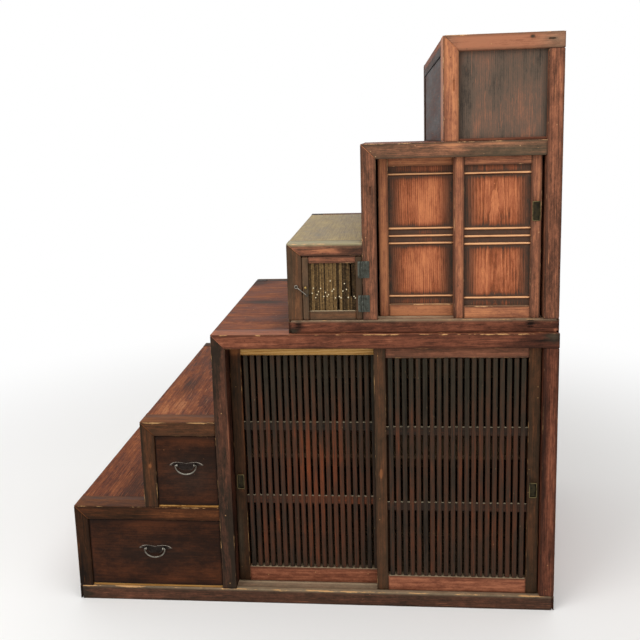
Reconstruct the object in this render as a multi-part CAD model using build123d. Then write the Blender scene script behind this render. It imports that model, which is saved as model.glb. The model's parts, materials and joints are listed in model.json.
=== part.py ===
from build123d import *
import os
from math import hypot

# Step chest in two stacked cases. Millimetres, +Z up, the front faces -Y, X runs from the lowest
# step at the left to the tall end at the right. The origin is under the middle of the whole chest.

# Stair outline: how wide each step is, and how far each rises above the one before
RUN_1 = 240
RUN_2 = 244
RUN_3 = 246
RUN_4 = 230
RUN_5 = 243
RUN_6 = 342
RISE_1 = 330
RISE_2 = 289
RISE_3 = 286
RISE_4 = 280
RISE_5 = 294
RISE_6 = 301
DEPTH = 900
UPPER_SETBACK = 13

# Frame members: posts, rails and sills
POST_W = 45
FRAME_D = 86
RAIL_H = 45
STEP_4_RAIL_H = 38
BASE_H = 48
UPPER_SILL_H = 42
BACK_FRAME_D = 45
BEARER_W = 45

# Boards
TREAD_T = 22
TREAD_LAP = 18
PANEL_T = 12
PANEL_INSET = 4
PANEL_TONGUE = 8
FLOOR_T = 18
BACK_T = 9
LEDGER_W = 30
RUNNER_W = 40
GUIDE_H = 25
SHELF_TOP = 475
SHELF_T = 15
SHELF_SETBACK = 10
SHELF_BEARER_W = 25
SHELF_BEARER_H = 20
TOP_PANEL_INSET = 14
TOP_LEDGE_H = 8
TOP_LEDGE_D = 10

# Sliding doors: two tracks in every sill and head rail
DOOR_T = 24
FRONT_TRACK = 16
REAR_TRACK = 50
TRACK_PLAY = 1
SILL_GROOVE = 4
HEAD_GROOVE = 12
HEAD_ENTRY = 8
SEAT_GAP = 0.3
TENON_T = 8
TENON_SHOULDER = 0.25

# Lattice doors of the lower cupboard
LATTICE_OVERLAP = 42
LATTICE_STILE_W = 36
LATTICE_BOTTOM_H = 49
LATTICE_TOP_H = 35
SLAT_COUNT = 20
SLAT_W = 14
SLAT_T = 12
SLAT_INSET = 2
BAR_COUNT = 2
BAR_H = 28
BAR_T = 8
BAR_INSET = 3
LEFT_LATTICE_AJAR = 2
RIGHT_LATTICE_AJAR = 4
LATTICE_PULL_Z = 397

# Panelled doors of the upper cupboard
PANEL_DOOR_OVERLAP = 16
PANEL_STILE_W = 30
PANEL_BOTTOM_H = 37
PANEL_TOP_H = 25
DOOR_PANEL_T = 8
DOOR_PANEL_INSET = 10
DOOR_PANEL_TONGUE = 6
BEAD_H = 9
BEAD_PROUD = 6
BEAD_PITCH = 23
OUTER_BEAD_MARGIN = 20
LEFT_PANEL_AJAR = 6
RIGHT_PANEL_AJAR = 9
PANEL_PULL_Z = 1270

# Recessed finger pulls
PULL_W = 21
LATTICE_PULL_H = 47
PANEL_PULL_H = 56
PULL_DEPTH = 9
PULL_WALL = 1.2
PULL_RIM = 1.5
PULL_RIM_T = 1
CUT_OVERRUN = 1

# Drawers
DRAWER_RECESS = 3
DRAWER_GAP = 2
DRAWER_FRONT_T = 20
DRAWER_SIDE_T = 12
DRAWER_SIDE_DROP = 8
DRAWER_BOTTOM_T = 7
DRAWER_BACK_GAP = 12
WIDE_PULL_Z = 188
SMALL_PULL_Z = 478

# Drawer pulls: a winged backplate, two eyes and a swinging bail
PLATE_HALF_W = 56
PLATE_T = 1.5
PLATE_TOP = 8
PLATE_TIP = 3
PLATE_LOBE = 19
EYE_SPACING = 56
EYE_R = 4.2
EYE_LENGTH = 4
EYE_STANDOFF = 8
SHANK_R = 1.8
BAIL_OUTSIDE_EYE = 6
BAIL_HALF_W = EYE_SPACING / 2 + BAIL_OUTSIDE_EYE
BAIL_DROP = 30
BAIL_R = 2.6
BAIL_PIN_R = 1.6
BAIL_PIN_PAST_EYE = 0.5
PIVOT_CLEARANCE = 0.06

# The backplate's corners across its half width, and the heights of its shoulder and middle dip
PLATE_CREST = 0.62
PLATE_SHOULDER = 0.2
PLATE_WAIST = 0.55
PLATE_LOBE_CORNER = 0.3
PLATE_SHOULDER_HEIGHT = 0.75
PLATE_DIP_HEIGHT = 0.45

# Small hinged door filled with reeds
SMALL_DOOR_T = 20
SMALL_DOOR_GAP = 1.5
SMALL_STILE_W = 19
SMALL_BOTTOM_H = 28
SMALL_TOP_H = 21
REED_COUNT = 34
REED_INSET = 8
REED_END = 5

# Hinges of the small door
HINGE_H = 52
HINGE_LOW_Z = 52
HINGE_HIGH_Z = 157
DOOR_LEAF_W = 13
POST_LEAF_W = 22
LEAF_T = 1.6
KNUCKLE_R = 3
KNUCKLE_GAP = 0.4
HINGE_PIN_R = 1.5

# Hasp that ties the small door to its post, and the brass knob beside it
HASP_PIVOT_IN = 14
HASP_PIVOT_Z = 79
HASP_REACH_X = 33
HASP_REACH_Z = 27
HASP_STANDOFF = 4.2
HASP_R = 1.5
HASP_EYE_R = 2.9
HASP_EYE_LENGTH = 4
HASP_PIN_R = 1.2
HASP_PIN_LENGTH = 8
RING_R = 4.6
RING_WIRE_R = 1.4
HASP_PEG_R = 1.6
HASP_PEG_OUT = 6
IRON_DEPTH = 12
KNOB_R = 5
KNOB_OUT = 7
KNOB_NECK_R = 2.2
KNOB_IN = 9
KNOB_Z = 103

# Left edges of the steps, then the right end of the chest
X1 = -(RUN_1 + RUN_2 + RUN_3 + RUN_4 + RUN_5 + RUN_6) / 2
X2 = X1 + RUN_1
X3 = X2 + RUN_2
X4 = X3 + RUN_3
X5 = X4 + RUN_4
X6 = X5 + RUN_5
X7 = X6 + RUN_6

# Tops of the steps
Z1 = RISE_1
Z2 = Z1 + RISE_2
Z3 = Z2 + RISE_3
Z4 = Z3 + RISE_4
Z5 = Z4 + RISE_5
Z6 = Z5 + RISE_6

# Planes across the depth: the drawer eyes stand furthest forward, so the chest is centred with them
EYE_OUT = EYE_STANDOFF + EYE_R - DRAWER_RECESS
FRONT = -(DEPTH - EYE_OUT) / 2
BACK = FRONT + DEPTH
UPPER_FRONT = FRONT + UPPER_SETBACK
BACK_FRAME = BACK - BACK_T - BACK_FRAME_D
UPPER_FLOOR = Z3 + UPPER_SILL_H

# Clear width of each cupboard between its posts
LOWER_LEFT = X3 + POST_W
UPPER_LEFT = X5 + POST_W
RIGHT_INNER = X7 - POST_W
LOWER_HEAD = Z3 - RAIL_H
UPPER_HEAD = Z5 - RAIL_H


def board(x0, x1, y0, y1, z0, z1):
    """Rectangular board between six planes."""
    centre = ((x0 + x1) / 2, (y0 + y1) / 2, (z0 + z1) / 2)
    return Pos(*centre) * Box(x1 - x0, y1 - y0, z1 - z0)


def profile_board(points, y0, y1):
    """Board whose front view is the closed outline of (x, z) points."""
    outline = Wire.make_polygon([Vector(x, y0, z) for x, z in points], close=True)
    return extrude(Face(outline), amount=y1 - y0, dir=(0, 1, 0))


def rod(start, end, radius):
    """Round rod between two points."""
    axis = Vector(*end) - Vector(*start)
    middle = (Vector(*start) + Vector(*end)) / 2
    return Plane(origin=middle, z_dir=axis) * Cylinder(radius, axis.length)


def let_in(member, *pieces):
    """The member with a housing cut for each piece that enters it."""
    for piece in pieces:
        member = member - piece
    return member


# ---- Boards that other members house ----

def tread(left, right, front, top):
    return board(left, right, front + FRAME_D - TREAD_LAP, BACK_FRAME, top - TREAD_T, top)


def step_treads():
    partition = X3 + PANEL_INSET
    return {
        "step_1_tread": tread(X1, partition, FRONT, Z1),
        "step_2_tread": tread(X2, partition, FRONT, Z2),
        "step_3_tread": tread(X3, X7, FRONT, Z3),
        "step_4_tread": tread(X4, X5 + PANEL_INSET, UPPER_FRONT, Z4),
        "step_5_tread": tread(X5, X7 - PANEL_INSET - PANEL_T, UPPER_FRONT, Z5),
        "step_6_tread": tread(X6, X7, UPPER_FRONT, Z6),
    }


def end_panel(left, front, bottom, top):
    """Panel across the depth, its upright edges let into the front and back posts."""
    first = front + FRAME_D - PANEL_TONGUE
    return board(left, left + PANEL_T, first, BACK_FRAME + PANEL_TONGUE, bottom, top)


def lower_panels():
    right = X7 - PANEL_INSET - PANEL_T
    return [
        end_panel(X1 + PANEL_INSET, FRONT, BASE_H, Z1 - RAIL_H),
        end_panel(X2 + PANEL_INSET, FRONT, Z1, Z2 - RAIL_H),
        end_panel(X3 + PANEL_INSET, FRONT, BASE_H - FLOOR_T, LOWER_HEAD),
        end_panel(right, FRONT, BASE_H, LOWER_HEAD),
    ]


def upper_panels():
    right = X7 - PANEL_INSET - PANEL_T
    return [
        end_panel(X4 + PANEL_INSET, UPPER_FRONT, UPPER_FLOOR, Z4 - STEP_4_RAIL_H),
        end_panel(X5 + PANEL_INSET, UPPER_FRONT, UPPER_FLOOR - FLOOR_T, UPPER_HEAD),
        end_panel(X6 + PANEL_INSET, UPPER_FRONT, Z5, Z6 - RAIL_H),
        end_panel(right, UPPER_FRONT, UPPER_FLOOR, Z6 - RAIL_H),
    ]


def top_panel():
    """Plain board that closes the front of the highest step, with a ledge along its foot."""
    front = UPPER_FRONT + TOP_PANEL_INSET
    left = X6 + POST_W
    head = Z6 - RAIL_H + PANEL_TONGUE
    panel = board(left - PANEL_TONGUE, RIGHT_INNER + PANEL_TONGUE, front, front + PANEL_T, Z5, head)
    ledge = board(left, RIGHT_INNER, front - TOP_LEDGE_D, front, Z5, Z5 + TOP_LEDGE_H)
    return [panel, ledge]


# ---- Front frame: posts and rails, mitred at the nose of each step ----

def mitred_post(left, bottom, top, rail_h, front):
    outline = [(left, bottom), (left + POST_W, bottom), (left + POST_W, top - rail_h), (left, top)]
    return profile_board(outline, front, front + FRAME_D)


def mitred_rail(left, right, top, rail_h, front):
    outline = [(left, top), (right, top), (right, top - rail_h), (left + POST_W, top - rail_h)]
    return profile_board(outline, front, front + FRAME_D)


def door_grooves(left, front, z0, z1):
    """The two door tracks of a sill or head rail, from a left post to the right-hand post."""
    grooves = []
    for track in (FRONT_TRACK, REAR_TRACK):
        near = front + track - TRACK_PLAY
        far = front + track + DOOR_T + TRACK_PLAY
        grooves.append(board(left, RIGHT_INNER, near, far, z0, z1))
    return grooves


def lower_front_frame():
    treads = list(step_treads().values())
    panels = lower_panels()
    sill = board(X1, X7, FRONT, FRONT + FRAME_D, 0, BASE_H)
    sill = let_in(sill, *door_grooves(LOWER_LEFT, FRONT, BASE_H - SILL_GROOVE, BASE_H), *panels)
    rail_3 = mitred_rail(X3, X7, Z3, RAIL_H, FRONT)
    rail_3 = let_in(rail_3, *door_grooves(LOWER_LEFT, FRONT, LOWER_HEAD, LOWER_HEAD + HEAD_GROOVE))
    right_post = board(RIGHT_INNER, X7, FRONT, FRONT + FRAME_D, BASE_H, LOWER_HEAD)
    members = {
        "base_sill": sill,
        "step_1_post": mitred_post(X1, BASE_H, Z1, RAIL_H, FRONT),
        "step_2_post": mitred_post(X2, Z1, Z2, RAIL_H, FRONT),
        "step_3_post": mitred_post(X3, BASE_H, Z3, RAIL_H, FRONT),
        "lower_right_post": right_post,
        "step_1_rail": mitred_rail(X1, X3, Z1, RAIL_H, FRONT),
        "step_2_rail": mitred_rail(X2, X3, Z2, RAIL_H, FRONT),
        "step_3_rail": rail_3,
    }
    return {name: let_in(piece, *treads[:3], *panels) for name, piece in members.items()}


def upper_front_frame():
    treads = list(step_treads().values())
    panels = upper_panels() + [top_panel()[0]]
    sill = board(X4, X7, UPPER_FRONT, UPPER_FRONT + FRAME_D, Z3, UPPER_FLOOR)
    sill_grooves = door_grooves(UPPER_LEFT, UPPER_FRONT, UPPER_FLOOR - SILL_GROOVE, UPPER_FLOOR)
    rail_5 = mitred_rail(X5, RIGHT_INNER, Z5, RAIL_H, UPPER_FRONT)
    head_grooves = door_grooves(UPPER_LEFT, UPPER_FRONT, UPPER_HEAD, UPPER_HEAD + HEAD_GROOVE)
    right_post = board(RIGHT_INNER, X7, UPPER_FRONT, UPPER_FRONT + FRAME_D, UPPER_FLOOR, Z6 - RAIL_H)
    members = {
        "upper_sill": let_in(sill, *sill_grooves),
        "step_4_post": mitred_post(X4, UPPER_FLOOR, Z4, STEP_4_RAIL_H, UPPER_FRONT),
        "step_5_post": mitred_post(X5, UPPER_FLOOR, Z5, RAIL_H, UPPER_FRONT),
        "step_6_post": mitred_post(X6, Z5, Z6, RAIL_H, UPPER_FRONT),
        "upper_right_post": right_post,
        "step_4_rail": mitred_rail(X4, X5, Z4, STEP_4_RAIL_H, UPPER_FRONT),
        "step_5_rail": let_in(rail_5, *head_grooves),
        "step_6_rail": mitred_rail(X6, X7, Z6, RAIL_H, UPPER_FRONT),
    }
    return {name: let_in(piece, *treads[3:], *panels) for name, piece in members.items()}


# ---- Back frame, base frames, side rails and boards ----

def back_post(left, bottom, top):
    return board(left, left + POST_W, BACK_FRAME, BACK_FRAME + BACK_FRAME_D, bottom, top)


def back_rail(left, right, bottom, top):
    return board(left, right, BACK_FRAME, BACK_FRAME + BACK_FRAME_D, bottom, top)


def lower_back_frame():
    pieces = [
        back_post(X1, 0, Z1),
        back_post(X2, Z1, Z2),
        back_post(X3, 0, Z3),
        back_post(RIGHT_INNER, 0, Z3),
        back_rail(X1 + POST_W, X3, Z1 - RAIL_H, Z1),
        back_rail(X2 + POST_W, X3, Z2 - RAIL_H, Z2),
        back_rail(LOWER_LEFT, RIGHT_INNER, LOWER_HEAD, Z3),
        back_rail(X1 + POST_W, X3, 0, BASE_H),
        back_rail(LOWER_LEFT, RIGHT_INNER, 0, BASE_H),
    ]
    return [let_in(piece, *lower_panels()) for piece in pieces]


def upper_back_frame():
    pieces = [
        back_post(X4, Z3, Z4),
        back_post(X5, Z3, Z5),
        back_post(X6, Z5, Z6),
        back_post(RIGHT_INNER, Z3, Z6),
        back_rail(X4 + POST_W, X5, Z4 - STEP_4_RAIL_H, Z4),
        back_rail(UPPER_LEFT, RIGHT_INNER, UPPER_HEAD, Z5),
        back_rail(X6 + POST_W, RIGHT_INNER, Z6 - RAIL_H, Z6),
        back_rail(X4 + POST_W, X5, Z3, UPPER_FLOOR),
        back_rail(UPPER_LEFT, RIGHT_INNER, Z3, UPPER_FLOOR),
    ]
    return [let_in(piece, *upper_panels()) for piece in pieces]


def base_frame(left, partition, front, bottom, height):
    """Side rails, front and back bearers and two middle bearers under a case."""
    inner = front + FRAME_D
    low_top = bottom + height - FLOOR_T
    middle = (partition + RIGHT_INNER) / 2
    pieces = [
        board(left, left + POST_W, inner, BACK_FRAME, bottom, bottom + height),
        board(RIGHT_INNER, X7, inner, BACK_FRAME, bottom, bottom + height),
        board(left + POST_W, RIGHT_INNER, inner, inner + BEARER_W, bottom, low_top),
        board(left + POST_W, RIGHT_INNER, BACK_FRAME - BEARER_W, BACK_FRAME, bottom, low_top),
    ]
    for x in (partition, middle):
        pieces.append(board(x, x + BEARER_W, inner + BEARER_W, BACK_FRAME - BEARER_W, bottom, low_top))
    return pieces


def tread_bearer(left, width, front, top, rail_h):
    """Strip across the depth that carries one end of a tread."""
    return board(left, left + width, front + FRAME_D, BACK_FRAME, top - rail_h, top - TREAD_T)


def lower_side_rails():
    ledger = X3 + PANEL_INSET - LEDGER_W
    return [
        tread_bearer(X1, POST_W, FRONT, Z1, RAIL_H),
        tread_bearer(ledger, LEDGER_W, FRONT, Z1, RAIL_H),
        tread_bearer(X2, POST_W, FRONT, Z2, RAIL_H),
        tread_bearer(ledger, LEDGER_W, FRONT, Z2, RAIL_H),
        tread_bearer(X3, POST_W, FRONT, Z3, RAIL_H),
        tread_bearer(X4, POST_W, FRONT, Z3, RAIL_H),
        tread_bearer(RIGHT_INNER, POST_W, FRONT, Z3, RAIL_H),
    ]


def upper_side_rails():
    right = X7 - PANEL_INSET - PANEL_T - LEDGER_W
    return [
        tread_bearer(X4, POST_W, UPPER_FRONT, Z4, STEP_4_RAIL_H),
        tread_bearer(X5 + PANEL_INSET - LEDGER_W, LEDGER_W, UPPER_FRONT, Z4, STEP_4_RAIL_H),
        tread_bearer(X5, POST_W, UPPER_FRONT, Z5, RAIL_H),
        tread_bearer(X6, POST_W, UPPER_FRONT, Z5, RAIL_H),
        tread_bearer(right, LEDGER_W, UPPER_FRONT, Z5, RAIL_H),
        tread_bearer(X6, POST_W, UPPER_FRONT, Z6, RAIL_H),
        tread_bearer(RIGHT_INNER, POST_W, UPPER_FRONT, Z6, RAIL_H),
    ]


def floor_board(left, right, front, top):
    return board(left, right, front + FRAME_D, BACK_FRAME, top - FLOOR_T, top)


def drawer_runners():
    """Runners and guides of the two drawers."""
    inner = FRONT + FRAME_D
    runner_1 = floor_board(X1 + POST_W, X1 + POST_W + RUNNER_W, FRONT, BASE_H)
    runner_2 = floor_board(X3 + PANEL_INSET - RUNNER_W, X3 + PANEL_INSET, FRONT, BASE_H)
    guides = []
    for left, bottom in ((X1, BASE_H), (X2, Z1)):
        face = left + PANEL_INSET + PANEL_T
        guides.append(board(face, left + POST_W, inner, BACK_FRAME, bottom, bottom + GUIDE_H))
    return [runner_1, runner_2] + guides


def shelf():
    inner = FRONT + FRAME_D + SHELF_SETBACK
    left = X3 + PANEL_INSET + PANEL_T
    right = X7 - PANEL_INSET - PANEL_T
    return board(left, right, inner, BACK_FRAME, SHELF_TOP - SHELF_T, SHELF_TOP)


def shelf_bearers():
    inner = FRONT + FRAME_D + SHELF_SETBACK
    left = X3 + PANEL_INSET + PANEL_T
    right = X7 - PANEL_INSET - PANEL_T
    top = SHELF_TOP - SHELF_T
    low = top - SHELF_BEARER_H
    return [
        board(left, left + SHELF_BEARER_W, inner, BACK_FRAME, low, top),
        board(right - SHELF_BEARER_W, right, inner, BACK_FRAME, low, top),
    ]


def back_boards():
    """Thin boards nailed over the back, one for each step."""
    bays = [(X1, X2, 0, Z1), (X2, X3, 0, Z2), (X3, X7, 0, Z3)]
    bays += [(X4, X5, Z3, Z4), (X5, X6, Z3, Z5), (X6, X7, Z3, Z6)]
    return [board(left, right, BACK - BACK_T, BACK, low, high) for left, right, low, high in bays]


# ---- Sliding doors ----

def joined_frame(x0, x1, y0, y1, stile_w, low_rail, high_rail):
    """Two stiles and two rails, each rail between two heights; its tenons run through the stiles."""
    tenon_y = (y0 + y1 - TENON_T) / 2
    rails = []
    for low, high in (low_rail, high_rail):
        shoulder = TENON_SHOULDER * (high - low)
        rail = board(x0 + stile_w, x1 - stile_w, y0, y1, low, high)
        tenon = board(x0, x1, tenon_y, tenon_y + TENON_T, low + shoulder, high - shoulder)
        rails.append(rail + tenon)
    foot = low_rail[0]
    head = high_rail[1]
    stiles = [board(x0, x0 + stile_w, y0, y1, foot, head), board(x1 - stile_w, x1, y0, y1, foot, head)]
    return [let_in(stile, *rails) for stile in stiles] + rails


def door_frame(x0, width, y0, sill, head, stile_w, bottom_h, top_h):
    """Frame of a sliding door, its foot in the sill's track and its head in the rail's."""
    low_rail = (sill - SILL_GROOVE + SEAT_GAP, sill + bottom_h)
    high_rail = (head - top_h, head + HEAD_ENTRY)
    return joined_frame(x0, x0 + width, y0, y0 + DOOR_T, stile_w, low_rail, high_rail)


def finger_pull(centre_x, y0, centre_z, height):
    """Sheet metal tray let into a stile, with a thin rim over the wood."""
    half_w = PULL_W / 2
    half_h = height / 2
    tray = board(centre_x - half_w, centre_x + half_w, y0 - PULL_RIM_T, y0 + PULL_DEPTH,
                 centre_z - half_h, centre_z + half_h)
    rim = board(centre_x - half_w - PULL_RIM, centre_x + half_w + PULL_RIM, y0 - PULL_RIM_T, y0,
                centre_z - half_h - PULL_RIM, centre_z + half_h + PULL_RIM)
    hollow = board(centre_x - half_w + PULL_WALL, centre_x + half_w - PULL_WALL,
                   y0 - PULL_RIM_T - CUT_OVERRUN, y0 + PULL_DEPTH - PULL_WALL,
                   centre_z - half_h + PULL_WALL, centre_z + half_h - PULL_WALL)
    return tray + rim - hollow


def pull_mortise(centre_x, y0, centre_z, height):
    half_h = height / 2
    return board(centre_x - PULL_W / 2, centre_x + PULL_W / 2, y0, y0 + PULL_DEPTH,
                 centre_z - half_h, centre_z + half_h)


def lattice_door(x0, width, track, pull_x):
    """Frame, grille and finger pull of one lattice door."""
    y0 = FRONT + track
    frame = door_frame(x0, width, y0, BASE_H, LOWER_HEAD, LATTICE_STILE_W,
                       LATTICE_BOTTOM_H, LATTICE_TOP_H)
    mortise = pull_mortise(pull_x, y0, LATTICE_PULL_Z, LATTICE_PULL_H)
    frame = [let_in(piece, mortise) for piece in frame]
    left = x0 + LATTICE_STILE_W
    right = x0 + width - LATTICE_STILE_W
    low = BASE_H + LATTICE_BOTTOM_H
    high = LOWER_HEAD - LATTICE_TOP_H
    pane = (high - low - BAR_COUNT * BAR_H) / (BAR_COUNT + 1)
    bar_y = y0 + SLAT_INSET + BAR_INSET
    bars = []
    for index in range(BAR_COUNT):
        z = low + pane + index * (pane + BAR_H)
        bars.append(board(left, right, bar_y, bar_y + BAR_T, z, z + BAR_H))
    gap = (right - left - SLAT_COUNT * SLAT_W) / (SLAT_COUNT + 1)
    slats = []
    for index in range(SLAT_COUNT):
        x = left + gap + index * (gap + SLAT_W)
        slat = board(x, x + SLAT_W, y0 + SLAT_INSET, y0 + SLAT_INSET + SLAT_T, low, high)
        slats.append(let_in(slat, *bars))
    pull = finger_pull(pull_x, y0, LATTICE_PULL_Z, LATTICE_PULL_H)
    return frame, slats + bars, [pull]


def bead(left, right, y, z):
    """Half-round bead across a door panel, its flat back on the panel."""
    section = Ellipse(BEAD_PROUD, BEAD_H / 2) & Pos(-BEAD_PROUD / 2, 0) * Rectangle(BEAD_PROUD, BEAD_H)
    plane = Plane(origin=(left, y, z), x_dir=(0, 1, 0), z_dir=(1, 0, 0))
    return extrude(plane * section, amount=right - left)


def panel_door(x0, width, track):
    """Frame and infill of one panelled door: a thin board crossed by five beads."""
    y0 = UPPER_FRONT + track
    frame = door_frame(x0, width, y0, UPPER_FLOOR, UPPER_HEAD, PANEL_STILE_W,
                       PANEL_BOTTOM_H, PANEL_TOP_H)
    left = x0 + PANEL_STILE_W
    right = x0 + width - PANEL_STILE_W
    low = UPPER_FLOOR + PANEL_BOTTOM_H
    high = UPPER_HEAD - PANEL_TOP_H
    face = y0 + DOOR_PANEL_INSET
    tongue = DOOR_PANEL_TONGUE
    panel = board(left - tongue, right + tongue, face, face + DOOR_PANEL_T, low - tongue, high + tongue)
    middle = (low + high) / 2
    heights = [middle - BEAD_PITCH, middle, middle + BEAD_PITCH]
    heights += [low + OUTER_BEAD_MARGIN + BEAD_H / 2, high - OUTER_BEAD_MARGIN - BEAD_H / 2]
    beads = [bead(left, right, face, z) for z in heights]
    return [let_in(piece, panel) for piece in frame], [panel] + beads


# ---- Drawers ----

def drawer(left, right, bottom, top):
    """Front board, and the box behind it: two sides, a back and a bottom."""
    x0 = left + DRAWER_GAP
    x1 = right - DRAWER_GAP
    z0 = bottom + SEAT_GAP
    low = z0 + DRAWER_BOTTOM_T
    high = top - DRAWER_GAP
    face = FRONT + DRAWER_RECESS
    inner = face + DRAWER_FRONT_T
    rear = BACK_FRAME - DRAWER_BACK_GAP
    side_top = high - DRAWER_SIDE_DROP
    front = board(x0, x1, face, inner, low, high)
    box = [
        board(x0, x0 + DRAWER_SIDE_T, inner, rear, low, side_top),
        board(x1 - DRAWER_SIDE_T, x1, inner, rear, low, side_top),
        board(x0 + DRAWER_SIDE_T, x1 - DRAWER_SIDE_T, rear - DRAWER_SIDE_T, rear, low, side_top),
        board(x0, x1, face, rear, z0, low),
    ]
    return front, box


def winged_plate(x, face, z):
    """Backplate like two spread wings: drooping tips, a dip at the middle and a lobe below."""
    half = PLATE_HALF_W
    right_side = [
        (0, PLATE_DIP_HEIGHT * PLATE_TOP),
        (PLATE_SHOULDER * half, PLATE_SHOULDER_HEIGHT * PLATE_TOP),
        (PLATE_CREST * half, PLATE_TOP),
        (half, -PLATE_TIP),
        (PLATE_WAIST * half, -PLATE_TIP),
        (PLATE_LOBE_CORNER * half, -PLATE_LOBE),
    ]
    left_side = [(-across, up) for across, up in reversed(right_side[1:])]
    outline = [(x + across, z + up) for across, up in right_side + left_side]
    return profile_board(outline, face - PLATE_T, face)


def pull_eyes(x, face, z):
    """Two eyes whose shanks pass through the backplate and the drawer front."""
    y = face - EYE_STANDOFF
    eyes = []
    for side in (-1, 1):
        centre = x + side * EYE_SPACING / 2
        ring = rod((centre - EYE_LENGTH / 2, y, z), (centre + EYE_LENGTH / 2, y, z), EYE_R)
        shank = rod((centre, y, z), (centre, face + DRAWER_FRONT_T, z), SHANK_R)
        hole = rod((centre - EYE_LENGTH, y, z), (centre + EYE_LENGTH, y, z), BAIL_PIN_R + PIVOT_CLEARANCE)
        eyes.append(ring + shank - hole)
    return eyes


def bail(x, face, z):
    """Round bail hanging in the eyes, with a pin turned inward at each end."""
    y = face - EYE_STANDOFF
    arc = ThreePointArc((x - BAIL_HALF_W, y, z), (x, y, z - BAIL_DROP), (x + BAIL_HALF_W, y, z))
    handle = sweep(Plane(origin=arc @ 0, z_dir=arc % 0) * Circle(BAIL_R), path=arc)
    for side in (-1, 1):
        end = x + side * BAIL_HALF_W
        inner = x + side * (EYE_SPACING / 2 - EYE_LENGTH / 2 - BAIL_PIN_PAST_EYE)
        handle = handle + Pos(end, y, z) * Sphere(BAIL_R) + rod((end, y, z), (inner, y, z), BAIL_PIN_R)
    return handle


def drawer_nodes(name, left, right, bottom, top, pull_z):
    front, box = drawer(left, right, bottom, top)
    middle = (left + right) / 2
    face = FRONT + DRAWER_RECESS
    eyes = pull_eyes(middle, face, pull_z)
    plate = let_in(winged_plate(middle, face, pull_z), *eyes)
    return {
        name + "_drawer_front": [let_in(front, *eyes)],
        name + "_drawer_box": box,
        name + "_drawer_plate": [plate] + eyes,
        name + "_drawer_bail": [bail(middle, face, pull_z)],
    }


# ---- Small hinged door ----

SMALL_LEFT = X4 + POST_W + SMALL_DOOR_GAP
SMALL_RIGHT = X5 - SMALL_DOOR_GAP
SMALL_LOW = UPPER_FLOOR + SMALL_DOOR_GAP
SMALL_HIGH = Z4 - STEP_4_RAIL_H - SMALL_DOOR_GAP
SMALL_FACE = UPPER_FRONT
WINDOW_LEFT = SMALL_LEFT + SMALL_STILE_W
WINDOW_RIGHT = SMALL_RIGHT - SMALL_STILE_W
REED_PITCH = (WINDOW_RIGHT - WINDOW_LEFT) / REED_COUNT
REED_Y = SMALL_FACE + REED_INSET
REED_FOOT = SMALL_LOW + SMALL_BOTTOM_H - REED_END
REED_HEAD = SMALL_HIGH - SMALL_TOP_H + REED_END
HINGE_X = X5 - SMALL_DOOR_GAP / 2
HINGE_Y = UPPER_FRONT - KNUCKLE_R - LEAF_T / 2


def small_door_frame():
    low_rail = (SMALL_LOW, SMALL_LOW + SMALL_BOTTOM_H)
    high_rail = (SMALL_HIGH - SMALL_TOP_H, SMALL_HIGH)
    pieces = joined_frame(SMALL_LEFT, SMALL_RIGHT, SMALL_FACE, SMALL_FACE + SMALL_DOOR_T,
                          SMALL_STILE_W, low_rail, high_rail)
    groove = board(WINDOW_LEFT, WINDOW_RIGHT, REED_Y - REED_PITCH / 2, REED_Y + REED_PITCH / 2,
                   REED_FOOT, REED_HEAD)
    return [let_in(piece, groove) for piece in pieces]


def small_door_reeds():
    """A row of upright reeds, their ends in grooves of the two rails."""
    reeds = []
    for index in range(REED_COUNT):
        x = WINDOW_LEFT + (index + 0.5) * REED_PITCH
        reeds.append(rod((x, REED_Y, REED_FOOT), (x, REED_Y, REED_HEAD), REED_PITCH / 2))
    return reeds


def hinge_knuckle(low, high, bore_r):
    barrel = rod((HINGE_X, HINGE_Y, low), (HINGE_X, HINGE_Y, high), KNUCKLE_R)
    bore = rod((HINGE_X, HINGE_Y, low - CUT_OVERRUN), (HINGE_X, HINGE_Y, high + CUT_OVERRUN), bore_r)
    return barrel, bore


def hinge_leaf(side, width, foot, bands, bore_r):
    """Leaf plate on one side of the pin, rolled round it at each band of heights."""
    inner = KNUCKLE_R + KNUCKLE_GAP
    back = UPPER_FRONT
    front = back - LEAF_T
    xs = sorted((HINGE_X + side * inner, HINGE_X + side * width))
    leaf = board(xs[0], xs[1], front, back, foot, foot + HINGE_H)
    for low, high in bands:
        xs = sorted((HINGE_X, HINGE_X + side * inner))
        barrel, bore = hinge_knuckle(low, high, bore_r)
        leaf = leaf + board(xs[0], xs[1], front, back - KNUCKLE_GAP, low, high) + barrel - bore
    return leaf


def hinge(foot):
    """Post half with two knuckles, door half with the middle knuckle, and the pin."""
    third = HINGE_H / 3
    gap = KNUCKLE_GAP / 2
    outer = [(foot, foot + third - gap), (foot + 2 * third + gap, foot + HINGE_H)]
    middle = [(foot + third + gap, foot + 2 * third - gap)]
    post_half = hinge_leaf(1, POST_LEAF_W, foot, outer, HINGE_PIN_R)
    door_half = hinge_leaf(-1, DOOR_LEAF_W, foot, middle, HINGE_PIN_R + PIVOT_CLEARANCE)
    pin = rod((HINGE_X, HINGE_Y, foot), (HINGE_X, HINGE_Y, foot + HINGE_H), HINGE_PIN_R)
    return post_half, door_half, pin


HASP_X = SMALL_LEFT + HASP_PIVOT_IN
HASP_Y = SMALL_FACE - HASP_STANDOFF
HASP_Z = UPPER_FLOOR + HASP_PIVOT_Z
HASP_LENGTH = hypot(HASP_REACH_X, HASP_REACH_Z)
HASP_DX = -HASP_REACH_X / HASP_LENGTH
HASP_DZ = HASP_REACH_Z / HASP_LENGTH
RING_X = HASP_X - HASP_REACH_X
RING_Z = HASP_Z + HASP_REACH_Z


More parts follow.
